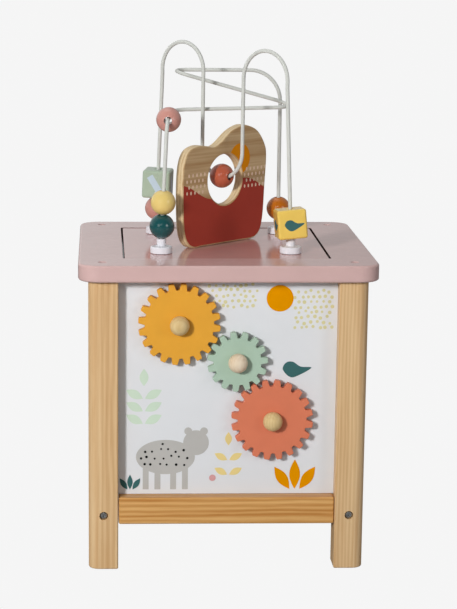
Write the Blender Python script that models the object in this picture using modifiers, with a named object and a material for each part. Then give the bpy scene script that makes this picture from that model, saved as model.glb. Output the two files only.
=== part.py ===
"""Wooden activity cube: a table on four legs, a gear panel and a lift-off bead maze.

The origin is the centre of the footprint on the floor, +Z is up and the gear panel
faces -Y. Lengths are in metres. Each named object is one physical piece.
"""
import math

import bmesh
import bpy
from mathutils import Matrix, Vector

MM = 0.001
GAP = 0.3 * MM

# Table
TOP_SIZE = 300 * MM
TOP_Z = 315 * MM
TOP_THICKNESS = 17 * MM
TOP_CORNER_RADIUS = 21 * MM
TOP_EDGE_RADIUS = 2.5 * MM
LEG_FACE = 140 * MM
LEG_WIDTH = 30 * MM
LEG_CORNER_RADIUS = 11 * MM
RAIL_BOTTOM = 47 * MM
RAIL_TOP = 75 * MM
RAIL_FACE = 138 * MM
RAIL_THICKNESS = 26 * MM
PANEL_FACE = 124 * MM
PANEL_THICKNESS = 6 * MM
GROOVE_DEPTH = 5 * MM
FLOOR_THICKNESS = 5 * MM

# Play board, which sits just below the table's surface in a rebate
BOARD_SIZE = 206.4 * MM
BOARD_TOP = 314.5 * MM
BOARD_THICKNESS = 8.2 * MM
BOARD_CORNER_RADIUS = 3 * MM
REBATE_HALF_X = 104.9 * MM
REBATE_HALF_Y = 103.8 * MM
REBATE_CORNER_RADIUS = 3 * MM
LEDGE_HALF = 95 * MM
LEDGE_CORNER_RADIUS = 4 * MM

# Fasteners
BOLT_HEIGHT_Y = 56.4 * MM
BOLT_HEIGHT_X = 66.6 * MM
BOLT_OFFSET = 124.7 * MM
BOLT_HEAD_RADIUS = 3.5 * MM
BOLT_HEAD_HEIGHT = 4 * MM
BOLT_RADIUS = 2 * MM
BOLT_LENGTH = 60 * MM
BOLT_HOLE_END = 72 * MM
COUNTERBORE_RADIUS = 4.3 * MM
COUNTERBORE_DEPTH = 6 * MM
NUT_RADIUS = 4.5 * MM
NUT_LENGTH = 16 * MM
NUT_POSITION = 85 * MM
NUT_HOLE_LENGTH = 22.3 * MM
TOP_SCREW_OFFSET = 126 * MM
TOP_SCREW_SINK = 2 * MM
TOP_SCREW_LENGTH = 42 * MM
SCREW_HEAD_RADIUS = 3.7 * MM
SCREW_HEAD_HEIGHT = 3 * MM
SCREW_RADIUS = 2 * MM
SCREW_HEAD_HOLE = 4.1 * MM
SCREW_HOLE = 2.3 * MM
LEG_PILOT_BOTTOM = 262 * MM
HILL_SCREW_OFFSETS = (-36 * MM, 26 * MM)
HILL_SCREW_LENGTH = 26 * MM
HILL_SCREW_HEAD_HEIGHT = 2.5 * MM
HILL_PILOT_LENGTH = 24 * MM
SOCKET_SHARE = 0.54

# Bead maze, heights above the play board
POST_OFFSET = 67 * MM
LOOPED_POST_X = 65.5 * MM
WIRE_RADIUS = 2 * MM
WIRE_HOLE_RADIUS = 2.4 * MM
STRAIGHT_FOOT = 16 * MM
CAP_HEIGHT = 15 * MM
CAP_FLANGE_RADIUS = 11.2 * MM
CAP_FLANGE_HEIGHT = 7.2 * MM
CAP_NECK_RADIUS = 5 * MM
ARCH_RADIUS = 29.4 * MM
ARCH_CENTRE = 57.3 * MM
FRONT_ARCH_SPRING = 174.2 * MM
BACK_ARCH_SPRING = 178.3 * MM
LEG_TOP_DROP = 6 * MM
DIP_RADIUS = 27.9 * MM
DIP_CENTRE = (-0.5 * MM, 97.5 * MM)
BEAD_RADIUS = 12.75 * MM
BORE_RADIUS = 4 * MM
CUBE_SIZE = 30 * MM
HIGH_BEAD_DISTANCE = 22.4 * MM
HIGH_BEAD_SAG = 1.2 * MM
RED_BEAD_HEIGHT = 71.1 * MM
HILL_THICKNESS = 10.5 * MM
HILL_HOLE = (-1 * MM, 68 * MM, 26.4 * MM)

# Gear train on the front panel, seen from the front
GEAR_MODULE = 4 * MM
GEAR_FACE = 134.5 * MM
GEAR_THICKNESS = 7.5 * MM
GEAR_ADDENDUM = {20: 1.4 * MM, 15: 0.65 * MM}
TOOTH_DEPTH = 6.6 * MM
HUB_RADIUS = 9 * MM
PEG_RADIUS = 4 * MM
PEG_HEAD_RADIUS = 9.8 * MM
PEG_HEAD_CENTRE = 139.9 * MM
FIRST_GEAR_CENTRE = (-49 * MM, 253 * MM)
FIRST_MESH_ANGLE = math.radians(-33.05)
SECOND_MESH_ANGLE = math.radians(-59.3)
MIDDLE_GEAR_PHASE = math.radians(2.9)

# Facets of round shapes
FASTENER_SIDES = 10
HOLE_SIDES = 10
CAP_SIDES = 14
FINE_SIDES = 16
BALL_BANDS = 7
BEND_STEP = math.radians(18)

DIAGONAL = Vector((1, 1, 0)).normalized()
CROSS_DIAGONAL = Vector((1, -1, 0)).normalized()
UP = Vector((0, 0, 1))


# Scene and object helpers

def clear_scene():
    for item in list(bpy.data.objects):
        bpy.data.objects.remove(item, do_unlink=True)
    for collection in list(bpy.data.collections):
        bpy.data.collections.remove(collection)


def new_collection(name):
    collection = bpy.data.collections.new(name)
    bpy.context.scene.collection.children.link(collection)
    return collection


clear_scene()
PARTS = new_collection("activity_cube")
CUTTERS = new_collection("cutters")


def material(name, colour, roughness, metallic=0.0):
    finish = bpy.data.materials.new(name)
    finish.use_nodes = True
    shader = finish.node_tree.nodes["Principled BSDF"]
    shader.inputs["Base Color"].default_value = (*colour, 1)
    shader.inputs["Roughness"].default_value = roughness
    shader.inputs["Metallic"].default_value = metallic
    return finish


def place(item, finish=None, matrix=None):
    """Link a piece to the parts, or a cutter (which has no finish) to the cutters."""
    if finish is None:
        CUTTERS.objects.link(item)
        item.hide_render = True
        item.display_type = "WIRE"
    else:
        PARTS.objects.link(item)
        item.data.materials.append(finish)
    if matrix is not None:
        item.matrix_world = matrix
    return item


def box_object(name, low, high, finish=None, corner_radius=0.0, corners=None, edge_radius=0.0):
    """A box between two corners; chosen vertical edges are rounded first, then the rest."""
    low = Vector(low)
    high = Vector(high)
    shape = bmesh.new()
    bmesh.ops.create_cube(shape, size=1)
    bmesh.ops.scale(shape, vec=high - low, verts=shape.verts)
    bmesh.ops.translate(shape, vec=(low + high) / 2, verts=shape.verts)
    if corner_radius:
        chosen = [edge for edge in shape.edges if is_corner_edge(edge, corners)]
        bmesh.ops.bevel(shape, geom=chosen, offset=corner_radius, segments=4, profile=0.5,
                        affect="EDGES")
    mesh = bpy.data.meshes.new(name)
    shape.to_mesh(mesh)
    shape.free()
    item = place(bpy.data.objects.new(name, mesh), finish)
    if edge_radius:
        bevel = item.modifiers.new("rounded_edges", "BEVEL")
        bevel.width = edge_radius
        bevel.segments = 1
        bevel.limit_method = "ANGLE"
        bevel.angle_limit = math.radians(40)
    return item


def is_corner_edge(edge, corners):
    """True for a vertical edge, or only for those near the given (x, y) corners."""
    first, second = (vertex.co for vertex in edge.verts)
    if (first.xy - second.xy).length > GAP:
        return False
    if corners is None:
        return True
    return any((first.xy - Vector(corner)).length < GAP for corner in corners)


def aim(direction, at, twist=0.0):
    """A matrix whose +Z points along a direction, turned about it by a twist."""
    turn = Vector(direction).to_track_quat("Z", "Y").to_matrix().to_4x4()
    return Matrix.Translation(at) @ turn @ Matrix.Rotation(twist, 4, "Z")


def turned_object(name, profile, matrix, steps, finish=None, closed=False):
    """A turned shape: (radius, height) points run down the outer side, top to bottom."""
    count = len(profile)
    edges = [(index, index + 1) for index in range(count - 1)]
    if closed:
        edges.append((count - 1, 0))
    mesh = bpy.data.meshes.new(name)
    mesh.from_pydata([(radius, 0, height) for radius, height in profile], edges, [])
    item = place(bpy.data.objects.new(name, mesh), finish, matrix)
    screw = item.modifiers.new("turn", "SCREW")
    screw.steps = steps
    screw.render_steps = steps
    screw.use_merge_vertices = True
    screw.merge_threshold = 0.00001
    return item


def rod_cutter(name, radius, start, direction, length, sides=HOLE_SIDES):
    """A round cutter that runs from a start point along a direction."""
    profile = [(0, length), (radius, length), (radius, 0), (0, 0)]
    return turned_object(name, profile, aim(direction, start), sides)


def cut(item, cutter, operation="DIFFERENCE"):
    boolean = item.modifiers.new(cutter.name, "BOOLEAN")
    boolean.operation = operation
    boolean.solver = "EXACT"
    boolean.object = cutter


def drill(item, radius, start, direction, length, sides=HOLE_SIDES):
    cut(item, rod_cutter(item.name + "_hole", radius, start, direction, length, sides))


def curve_as_mesh(item, finish):
    """Swap a curve object for a mesh object of the same name, with its caps welded."""
    bpy.context.view_layer.update()
    evaluated = item.evaluated_get(bpy.context.evaluated_depsgraph_get())
    mesh = bpy.data.meshes.new_from_object(evaluated)
    shape = bmesh.new()
    shape.from_mesh(mesh)
    bmesh.ops.remove_doubles(shape, verts=shape.verts, dist=0.00001)
    shape.to_mesh(mesh)
    shape.free()
    matrix = item.matrix_world.copy()
    name = item.name
    bpy.data.objects.remove(item, do_unlink=True)
    mesh.materials.clear()
    return place(bpy.data.objects.new(name, mesh), finish, matrix)


def flat_curve(name, thickness):
    data = bpy.data.curves.new(name, "CURVE")
    data.dimensions = "2D"
    data.fill_mode = "BOTH"
    data.extrude = thickness / 2
    data.render_resolution_u = 0
    return data


def add_outline(data, points):
    spline = data.splines.new("POLY")
    spline.points.add(len(points) - 1)
    for point, (x, y) in zip(spline.points, points):
        point.co = (x, y, 0, 1)
    spline.use_cyclic_u = True


def circle_points(centre_x, centre_y, radius, count):
    angles = [2 * math.pi * index / count for index in range(count)]
    return [(centre_x + radius * math.cos(a), centre_y + radius * math.sin(a)) for a in angles]


# Wire routes

def bent_route(corners):
    """Points of a wire that is straight between corners, each bent to its own radius."""
    route = [Vector(corners[0][0])]
    for before, here, after in zip(corners, corners[1:], corners[2:]):
        corner = Vector(here[0])
        inward = (corner - Vector(before[0])).normalized()
        outward = (Vector(after[0]) - corner).normalized()
        route += bend(corner, inward, outward, here[1])
    route.append(Vector(corners[-1][0]))
    return route


def bend(corner, inward, outward, radius):
    """The arc that rounds one corner of a route."""
    turn = inward.angle(outward)
    start = corner - inward * radius * math.tan(turn / 2)
    side = (outward - inward * inward.dot(outward)).normalized()
    count = max(1, round(turn / BEND_STEP))
    angles = [turn * index / count for index in range(count + 1)]
    return [start + inward * radius * math.sin(a) + side * radius * (1 - math.cos(a)) for a in angles]


def wire_object(name, route, finish):
    data = bpy.data.curves.new(name, "CURVE")
    data.dimensions = "3D"
    data.bevel_depth = WIRE_RADIUS
    data.bevel_resolution = 2
    data.use_fill_caps = True
    data.render_resolution_u = 0
    spline = data.splines.new("POLY")
    spline.points.add(len(route) - 1)
    for point, place_on_route in zip(spline.points, route):
        point.co = (*place_on_route, 1)
    return place(bpy.data.objects.new(name, data), finish)


def above_board(point):
    return Vector((point[0], point[1], BOARD_TOP + point[2]))


def on_cross_diagonal(distance, height):
    """A point of the arched wire's upright plane, above the play board."""
    return CROSS_DIAGONAL * distance + UP * (BOARD_TOP + height)


# Table

def leg(name, side_x, side_y, finish):
    inner = LEG_FACE - LEG_WIDTH
    near = (min(side_x * inner, side_x * LEG_FACE), min(side_y * inner, side_y * LEG_FACE), 0)
    far = (max(side_x * inner, side_x * LEG_FACE), max(side_y * inner, side_y * LEG_FACE),
           TOP_Z - TOP_THICKNESS - GAP)
    corner = (side_x * LEG_FACE, side_y * LEG_FACE)
    item = box_object(name, near, far, finish, LEG_CORNER_RADIUS, [corner], 1.5 * MM)
    for direction, start in (
        (Vector((-side_x, 0, 0)), Vector((side_x * LEG_FACE, side_y * BOLT_OFFSET, BOLT_HEIGHT_X))),
        (Vector((0, -side_y, 0)), Vector((side_x * BOLT_OFFSET, side_y * LEG_FACE, BOLT_HEIGHT_Y))),
    ):
        counterbore(item, start, direction)
    pilot = (side_x * TOP_SCREW_OFFSET, side_y * TOP_SCREW_OFFSET, LEG_PILOT_BOTTOM)
    drill(item, SCREW_HOLE, pilot, UP, TOP_Z - LEG_PILOT_BOTTOM)
    for along_x in (True, False):
        cut(item, groove_cutter(name, side_x, side_y, along_x))
    return item


def counterbore(item, start, direction):
    """A bolt's stepped hole through a leg, from its outer face inwards."""
    wide = COUNTERBORE_RADIUS
    narrow = BOLT_RADIUS + GAP
    depth = LEG_WIDTH + 1 * MM
    profile = [(0, 1 * MM), (wide, 1 * MM), (wide, -COUNTERBORE_DEPTH), (narrow, -COUNTERBORE_DEPTH),
               (narrow, -depth), (0, -depth)]
    cut(item, turned_object(item.name + "_counterbore", profile, aim(-direction, start), 12))


def groove_cutter(name, side_x, side_y, along_x):
    """The groove that takes a panel's edge; along_x is the front or back panel's groove."""
    inner = LEG_FACE - LEG_WIDTH
    across = (PANEL_FACE - PANEL_THICKNESS - GAP, PANEL_FACE + GAP)
    into = (inner - 1 * MM, inner + GROOVE_DEPTH)
    x_span, y_span = (into, across) if along_x else (across, into)
    xs = sorted(side_x * value for value in x_span)
    ys = sorted(side_y * value for value in y_span)
    return box_object(name + "_groove", (xs[0], ys[0], RAIL_TOP), (xs[1], ys[1], TOP_Z))


def rail(name, side, along_x, finish):
    end = LEG_FACE - LEG_WIDTH - GAP
    across = sorted((side * RAIL_FACE, side * (RAIL_FACE - RAIL_THICKNESS)))
    low = [-end, across[0], RAIL_BOTTOM]
    high = [end, across[1], RAIL_TOP]
    height = BOLT_HEIGHT_X
    if not along_x:
        low[0], low[1] = low[1], low[0]
        high[0], high[1] = high[1], high[0]
        height = BOLT_HEIGHT_Y
    item = box_object(name, low, high, finish, edge_radius=1.5 * MM)
    for way in (-1, 1):
        start = Vector((way * (end + 1 * MM), side * BOLT_OFFSET, height))
        nut_start = Vector((way * NUT_POSITION, side * (RAIL_FACE - RAIL_THICKNESS - 1 * MM), height))
        inward = Vector((-way, 0, 0))
        outward = Vector((0, side, 0))
        if not along_x:
            start, nut_start, inward, outward = (v.yxz for v in (start, nut_start, inward, outward))
        drill(item, BOLT_RADIUS + GAP, start, inward, end + 1 * MM - BOLT_HOLE_END)
        drill(item, NUT_RADIUS + GAP, nut_start, outward, NUT_HOLE_LENGTH)
    return item


def bolt(name, head_top, direction, head_radius, head_height, radius, length, finish):
    """A socket-head bolt; its head's top is at head_top and its shank runs along direction."""
    chamfer = 0.5 * MM
    end = -(head_height + length)
    profile = [
        (0, 0),
        (head_radius - chamfer, 0),
        (head_radius, -chamfer),
        (head_radius, -head_height),
        (radius, -head_height),
        (radius, end),
        (0, end),
    ]
    item = turned_object(name, profile, aim(-Vector(direction), head_top), FASTENER_SIDES, finish)
    key = head_radius * SOCKET_SHARE
    depth = head_height * SOCKET_SHARE
    socket = [(0, 1 * MM), (key, 1 * MM), (key, -depth), (0, -depth)]
    cut(item, turned_object(name + "_socket", socket, aim(-Vector(direction), head_top), 6))
    return item


def barrel_nut(name, centre, axis, bolt_axis, finish):
    half = NUT_LENGTH / 2
    profile = [(0, half), (NUT_RADIUS, half), (NUT_RADIUS, -half), (0, -half)]
    item = turned_object(name, profile, aim(axis, centre), FASTENER_SIDES, finish)
    drill(item, BOLT_RADIUS + GAP, centre - bolt_axis * half, bolt_axis, NUT_LENGTH)
    return item


def panel(name, side, along_x, finish):
    half = LEG_FACE - LEG_WIDTH + GROOVE_DEPTH - GAP
    across = sorted((side * PANEL_FACE, side * (PANEL_FACE - PANEL_THICKNESS)))
    low = [-half, across[0], RAIL_TOP + GAP]
    high = [half, across[1], TOP_Z - TOP_THICKNESS - GAP]
    if not along_x:
        low[0], low[1] = low[1], low[0]
        high[0], high[1] = high[1], high[0]
    return box_object(name, low, high, finish)


def floor_board(finish):
    """A square board whose corners are notched around the legs."""
    half = PANEL_FACE - PANEL_THICKNESS - 2 * GAP
    notch = LEG_FACE - LEG_WIDTH - 2 * GAP
    quarter = [(half, -notch), (half, notch), (notch, notch)]
    outline = []
    for turn in range(4):
        spin = Matrix.Rotation(turn * math.pi / 2, 2)
        outline += [spin @ Vector(point) for point in quarter]
    data = flat_curve("floor_board", FLOOR_THICKNESS)
    add_outline(data, outline)
    middle = Vector((0, 0, RAIL_TOP + GAP + FLOOR_THICKNESS / 2))
    item = place(bpy.data.objects.new("floor_board", data), finish, Matrix.Translation(middle))
    return curve_as_mesh(item, finish)


def top_frame(finish):
    half = TOP_SIZE / 2
    bottom = TOP_Z - TOP_THICKNESS
    item = box_object("top_frame", (-half, -half, bottom), (half, half, TOP_Z), finish,
                      TOP_CORNER_RADIUS, None, TOP_EDGE_RADIUS)
    ledge = LEDGE_HALF
    beyond = TOP_THICKNESS + 1 * MM
    cut(item, box_object("frame_opening", (-ledge, -ledge, TOP_Z - beyond), (ledge, ledge, TOP_Z + beyond),
                         None, LEDGE_CORNER_RADIUS))
    ledge_top = BOARD_TOP - BOARD_THICKNESS - GAP
    cut(item, box_object("frame_rebate", (-REBATE_HALF_X, -REBATE_HALF_Y, ledge_top),
                         (REBATE_HALF_X, REBATE_HALF_Y, TOP_Z + beyond), None, REBATE_CORNER_RADIUS))
    seat = -(TOP_SCREW_SINK + SCREW_HEAD_HEIGHT + GAP)
    profile = screw_hole(1 * MM, seat, -beyond)
    for side_x in (-1, 1):
        for side_y in (-1, 1):
            at = Vector((side_x * TOP_SCREW_OFFSET, side_y * TOP_SCREW_OFFSET, TOP_Z))
            cut(item, turned_object("top_screw_hole", profile, Matrix.Translation(at), HOLE_SIDES))
    return item


def screw_hole(outer, seat, inner):
    """The profile of a stepped screw hole: the head's part runs from outer to seat."""
    profile = [(0, outer), (SCREW_HEAD_HOLE, outer), (SCREW_HEAD_HOLE, seat), (SCREW_HOLE, seat),
               (SCREW_HOLE, inner), (0, inner)]
    return profile if outer > inner else profile[::-1]


# Play board and bead maze

def play_board(finish):
    half = BOARD_SIZE / 2
    bottom = BOARD_TOP - BOARD_THICKNESS
    item = box_object("play_board", (-half, -half, bottom), (half, half, BOARD_TOP), finish,
                      BOARD_CORNER_RADIUS, None, 0.8 * MM)
    for side_x in (-1, 1):
        for side_y in (-1, 1):
            start = post_foot(side_x, side_y) - UP * (BOARD_THICKNESS + 1 * MM)
            drill(item, WIRE_HOLE_RADIUS, start, UP, BOARD_THICKNESS + 2 * MM)
    seat = HILL_SCREW_HEAD_HEIGHT + 2 * GAP
    profile = screw_hole(-1 * MM, seat, BOARD_THICKNESS + 1 * MM)
    for point in hill_screw_points():
        cut(item, turned_object("hill_screw_hole", profile,
                                Matrix.Translation((point.x, point.y, bottom)), HOLE_SIDES))
    return item


def hill_screw_points():
    return [DIAGONAL * offset for offset in HILL_SCREW_OFFSETS]


def post_foot(side_x, side_y):
    """Where a wire's post meets the play board; the looped wire's posts have equal signs."""
    across = LOOPED_POST_X if side_x == side_y else POST_OFFSET
    return above_board((side_x * across, side_y * POST_OFFSET, 0))


def post_cap(name, side_x, side_y, finish):
    inner = WIRE_HOLE_RADIUS
    base = GAP
    profile = [
        (inner, CAP_HEIGHT),
        (CAP_NECK_RADIUS - 0.5 * MM, CAP_HEIGHT),
        (CAP_NECK_RADIUS, CAP_HEIGHT - 0.5 * MM),
        (CAP_NECK_RADIUS, CAP_FLANGE_HEIGHT + 0.8 * MM),
        (CAP_NECK_RADIUS + 0.8 * MM, CAP_FLANGE_HEIGHT),
        (CAP_FLANGE_RADIUS - 1.2 * MM, CAP_FLANGE_HEIGHT),
        (CAP_FLANGE_RADIUS, CAP_FLANGE_HEIGHT - 1.2 * MM),
        (CAP_FLANGE_RADIUS, base + 0.5 * MM),
        (CAP_FLANGE_RADIUS - 0.5 * MM, base),
        (inner, base),
    ]
    at = post_foot(side_x, side_y)
    return turned_object(name, profile, Matrix.Translation(at), CAP_SIDES, finish, closed=True)


def arc(centre, height, radius, turn, steps):
    """Half a circle in the arched wire's plane, over the top (turn 1) or underneath (-1)."""
    angles = [math.pi * turn * index / steps for index in range(steps + 1)]
    return [on_cross_diagonal(centre + radius * math.cos(a), height + radius * math.sin(a)) for a in angles]


def leg_foot(side):
    """The top of the arched wire's straight foot, on its +X (1) or -X (-1) side."""
    return on_cross_diagonal(side * POST_OFFSET * math.sqrt(2), STRAIGHT_FOOT)


def leg_top(side):
    """Where the arched wire's outer leg, which leans inwards, meets its arch."""
    spring = FRONT_ARCH_SPRING if side > 0 else BACK_ARCH_SPRING
    return on_cross_diagonal(side * (ARCH_CENTRE + ARCH_RADIUS), spring - LEG_TOP_DROP)


def arched_route():
    """Two arches joined by a dip that passes through the hill board's hole."""
    base = GAP - BOARD_THICKNESS
    foot = POST_OFFSET * math.sqrt(2)
    route = [on_cross_diagonal(foot, base), leg_foot(1), leg_top(1)]
    route += arc(ARCH_CENTRE, FRONT_ARCH_SPRING, ARCH_RADIUS, 1, 10)
    route += arc(*DIP_CENTRE, DIP_RADIUS, -1, 14)
    route += arc(-ARCH_CENTRE, BACK_ARCH_SPRING, ARCH_RADIUS, 1, 10)
    return route + [leg_top(-1), leg_foot(-1), on_cross_diagonal(-foot, base)]


def looped_corners():
    """The looped wire's corners and bend radii, from the front left post to the back right."""
    base = GAP - BOARD_THICKNESS
    across = LOOPED_POST_X
    post = POST_OFFSET
    corners = [
        ((-across, -post, base), 0),
        ((-across, -post, STRAIGHT_FOOT), 40 * MM),
        ((-60.2 * MM, -66.6 * MM, 134.7 * MM), 14 * MM),
        ((-50.5 * MM, 30 * MM, 137.2 * MM), 18 * MM),
        ((71 * MM, 32.5 * MM, 140 * MM), 11.8 * MM),
        ((71 * MM, 57.5 * MM, 142.4 * MM), 11.8 * MM),
        ((-46.2 * MM, 40 * MM, 175.8 * MM), 12 * MM),
        ((-46.2 * MM, post, 176.6 * MM), 12 * MM),
        ((across, post, 176.4 * MM), 33 * MM),
        ((across, post, base), 0),
    ]
    return [(above_board(point), radius) for point, radius in corners]


def hill_board(finish):
    """A plywood board with two rounded hills and a round window."""
    heights = [
        (-50, 0.3), (-60, 7), (-65, 20), (-66.8, 45), (-66.6, 72), (-64, 90), (-57, 101.5),
        (-44, 106), (-30, 104.9), (-19, 103.2), (-9, 107), (6, 116.7), (20, 122), (32, 122.6),
        (50, 116), (62, 102), (65.8, 88), (63.6, 56), (61.5, 27), (57.5, 10), (50, 2.5), (40, 0.3),
    ]
    data = flat_curve("hill_board", HILL_THICKNESS)
    spline = data.splines.new("BEZIER")
    spline.bezier_points.add(len(heights) - 1)
    for point, (x, y) in zip(spline.bezier_points, heights):
        point.co = (x * MM, y * MM, 0)
        point.handle_left_type = "AUTO"
        point.handle_right_type = "AUTO"
    for index in (0, len(heights) - 1):
        spline.bezier_points[index].handle_left_type = "VECTOR" if index == 0 else "AUTO"
        spline.bezier_points[index].handle_right_type = "AUTO" if index == 0 else "VECTOR"
    spline.use_cyclic_u = True
    spline.resolution_u = 3
    add_outline(data, circle_points(*HILL_HOLE, 24))
    frame = Matrix((DIAGONAL, UP, CROSS_DIAGONAL)).transposed().to_4x4()
    item = place(bpy.data.objects.new("hill_board", data), finish,
                 Matrix.Translation((0, 0, BOARD_TOP)) @ frame)
    item = curve_as_mesh(item, finish)
    for point in hill_screw_points():
        drill(item, SCREW_HOLE, (point.x, point.y, BOARD_TOP - 1 * MM), UP, HILL_PILOT_LENGTH)
    return item


def bead(name, centre, axis, finish):
    """A ball with a bore along its axis."""
    start = math.asin(BORE_RADIUS / BEAD_RADIUS)
    span = math.pi - 2 * start
    angles = [start + span * index / BALL_BANDS for index in range(BALL_BANDS + 1)]
    profile = [(BEAD_RADIUS * math.sin(a), BEAD_RADIUS * math.cos(a)) for a in angles]
    return turned_object(name, profile, aim(axis, centre), FINE_SIDES, finish, closed=True)


def cube_bead(name, centre, matrix, finish):
    half = CUBE_SIZE / 2
    item = box_object(name, (-half, -half, -half), (half, half, half), finish, edge_radius=2.4 * MM)
    drill(item, BORE_RADIUS, (0, 0, -CUBE_SIZE), UP, 2 * CUBE_SIZE, FINE_SIDES)
    cutter = item.modifiers[-1].object
    item.matrix_world = Matrix.Translation(centre) @ matrix
    cutter.matrix_world = item.matrix_world @ cutter.matrix_world
    return item


def lean(side):
    """The direction of the arched wire's outer leg, on the +X (1) or -X (-1) side."""
    return (leg_top(side) - leg_foot(side)).normalized()


def along_leg(side, height):
    """The point of the arched wire's outer leg at a height above the play board."""
    direction = lean(side)
    return leg_foot(side) + direction * (height - STRAIGHT_FOOT) / direction.z


def bead_maze(finishes):
    half_bead = math.sqrt(BEAD_RADIUS**2 - BORE_RADIUS**2)
    first_bead = CAP_HEIGHT + half_bead + 0.5 * MM
    stacked = 2 * half_bead + GAP
    corners = looped_corners()
    post_axis = (corners[2][0] - corners[1][0]).normalized()
    low = corners[1][0] + post_axis * (first_bead - STRAIGHT_FOOT) / post_axis.z
    bead("bead_teal", low, post_axis, finishes["teal"])
    bead("bead_yellow", low + post_axis * stacked, post_axis, finishes["yellow"])
    run_axis = (corners[3][0] - corners[2][0]).normalized()
    high = corners[2][0] + run_axis * HIGH_BEAD_DISTANCE - UP * HIGH_BEAD_SAG
    bead("bead_pink_high", high, run_axis, finishes["pink"])
    bead("bead_amber", post_foot(1, 1) + UP * first_bead, UP, finishes["amber"])
    bead("bead_red", on_cross_diagonal(DIP_CENTRE[0], RED_BEAD_HEIGHT), CROSS_DIAGONAL, finishes["red"])
    bead("bead_pink_low", along_leg(-1, first_bead), lean(-1), finishes["pink"])
    green_height = first_bead + stacked / 2 + CUBE_SIZE / 2 + GAP
    cube_bead("cube_green", along_leg(-1, green_height), leaning(lean(-1), math.radians(-10)),
              finishes["sage"])
    yellow_height = CAP_HEIGHT + CUBE_SIZE / 2 + 0.8 * MM
    tilt = Matrix.Rotation(math.radians(-3), 4, "Y")
    cube_bead("cube_yellow", along_leg(1, yellow_height), tilt @ leaning(lean(1), math.radians(4)),
              finishes["yellow"])


def leaning(direction, spin):
    """A turn that spins a cube about its bore, then leans the bore along a direction."""
    turn = UP.rotation_difference(direction).to_matrix().to_4x4()
    return turn @ Matrix.Rotation(spin, 4, "Z")


# Gears

def tooth_points(teeth, phase):
    """The outline of a gear with rounded tips; phase is the angle of its first tooth."""
    tip = GEAR_MODULE * teeth / 2 + GEAR_ADDENDUM[teeth]
    root = tip - TOOTH_DEPTH
    pitch = 2 * math.pi / teeth
    half_tooth = [(0.36, root), (0.24, tip - 1.2 * MM), (0.14, tip)]
    flank = [(-share, radius) for share, radius in half_tooth]
    tooth = flank + [(-share, radius) for share, radius in reversed(flank)]
    points = []
    for index in range(teeth):
        for share, radius in tooth:
            angle = phase + (index + share) * pitch
            points.append((radius * math.cos(angle), radius * math.sin(angle)))
    return points


def gear(name, teeth, centre, phase, finish):
    data = flat_curve(name, GEAR_THICKNESS)
    add_outline(data, tooth_points(teeth, phase))
    middle = Vector((centre[0], GEAR_THICKNESS / 2 - GEAR_FACE, centre[1]))
    facing = Matrix.Rotation(math.pi / 2, 4, "X")
    item = place(bpy.data.objects.new(name, data), finish, Matrix.Translation(middle) @ facing)
    item = curve_as_mesh(item, finish)
    hub_length = GEAR_FACE - PANEL_FACE - GAP - GEAR_THICKNESS / 2
    backward = Vector((0, 1, 0))
    hub = rod_cutter(name + "_hub", HUB_RADIUS, middle, backward, hub_length, FINE_SIDES)
    cut(item, hub, "UNION")
    start = (centre[0], -GEAR_FACE - 1 * MM, centre[1])
    drill(item, PEG_RADIUS + GAP, start, backward, GEAR_FACE - PANEL_FACE + 2 * MM, FINE_SIDES)
    return item


def gear_peg(name, centre, finish):
    """A peg through the panel with a ball head that is flat behind, in front of the gear."""
    flat = PEG_HEAD_CENTRE - GEAR_FACE - 0.4 * MM
    last = math.pi / 2 + math.asin(flat / PEG_HEAD_RADIUS)
    angles = [last * index / BALL_BANDS for index in range(BALL_BANDS + 1)]
    profile = [(PEG_HEAD_RADIUS * math.sin(a), PEG_HEAD_CENTRE + PEG_HEAD_RADIUS * math.cos(a))
               for a in angles]
    profile += [(PEG_RADIUS, PEG_HEAD_CENTRE - flat), (PEG_RADIUS, PANEL_FACE - PANEL_THICKNESS),
                (0, PANEL_FACE - PANEL_THICKNESS)]
    return turned_object(name, profile, aim((0, -1, 0), (centre[0], 0, centre[1])), FINE_SIDES, finish)


def gear_train(front_panel, finishes):
    yellow = Vector(FIRST_GEAR_CENTRE)
    spacing = GEAR_MODULE * (20 + 15) / 2
    green = yellow + spacing * Vector((math.cos(FIRST_MESH_ANGLE), math.sin(FIRST_MESH_ANGLE)))
    coral = green + spacing * Vector((math.cos(SECOND_MESH_ANGLE), math.sin(SECOND_MESH_ANGLE)))
    middle_phase = MIDDLE_GEAR_PHASE
    yellow_phase = mating_phase(middle_phase, FIRST_MESH_ANGLE + math.pi)
    coral_phase = mating_phase(middle_phase, SECOND_MESH_ANGLE)
    for colour, teeth, centre, phase in (("yellow", 20, yellow, yellow_phase),
                                         ("green", 15, green, middle_phase),
                                         ("coral", 20, coral, coral_phase)):
        gear("gear_" + colour, teeth, centre, phase, finishes[colour + "_gear"])
        gear_peg("peg_" + colour, centre, finishes["knob"])
        drill(front_panel, PEG_RADIUS + GAP, (centre[0], -PANEL_FACE - 1 * MM, centre[1]),
              Vector((0, 1, 0)), PANEL_THICKNESS + 2 * MM, FINE_SIDES)


def mating_phase(phase, direction):
    """The first-tooth angle of a 20-tooth gear in mesh with the 15-tooth gear beside it."""
    offset = (direction - phase) * 15 / 20
    return direction + math.pi + offset + math.pi / 20


# The whole object

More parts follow.
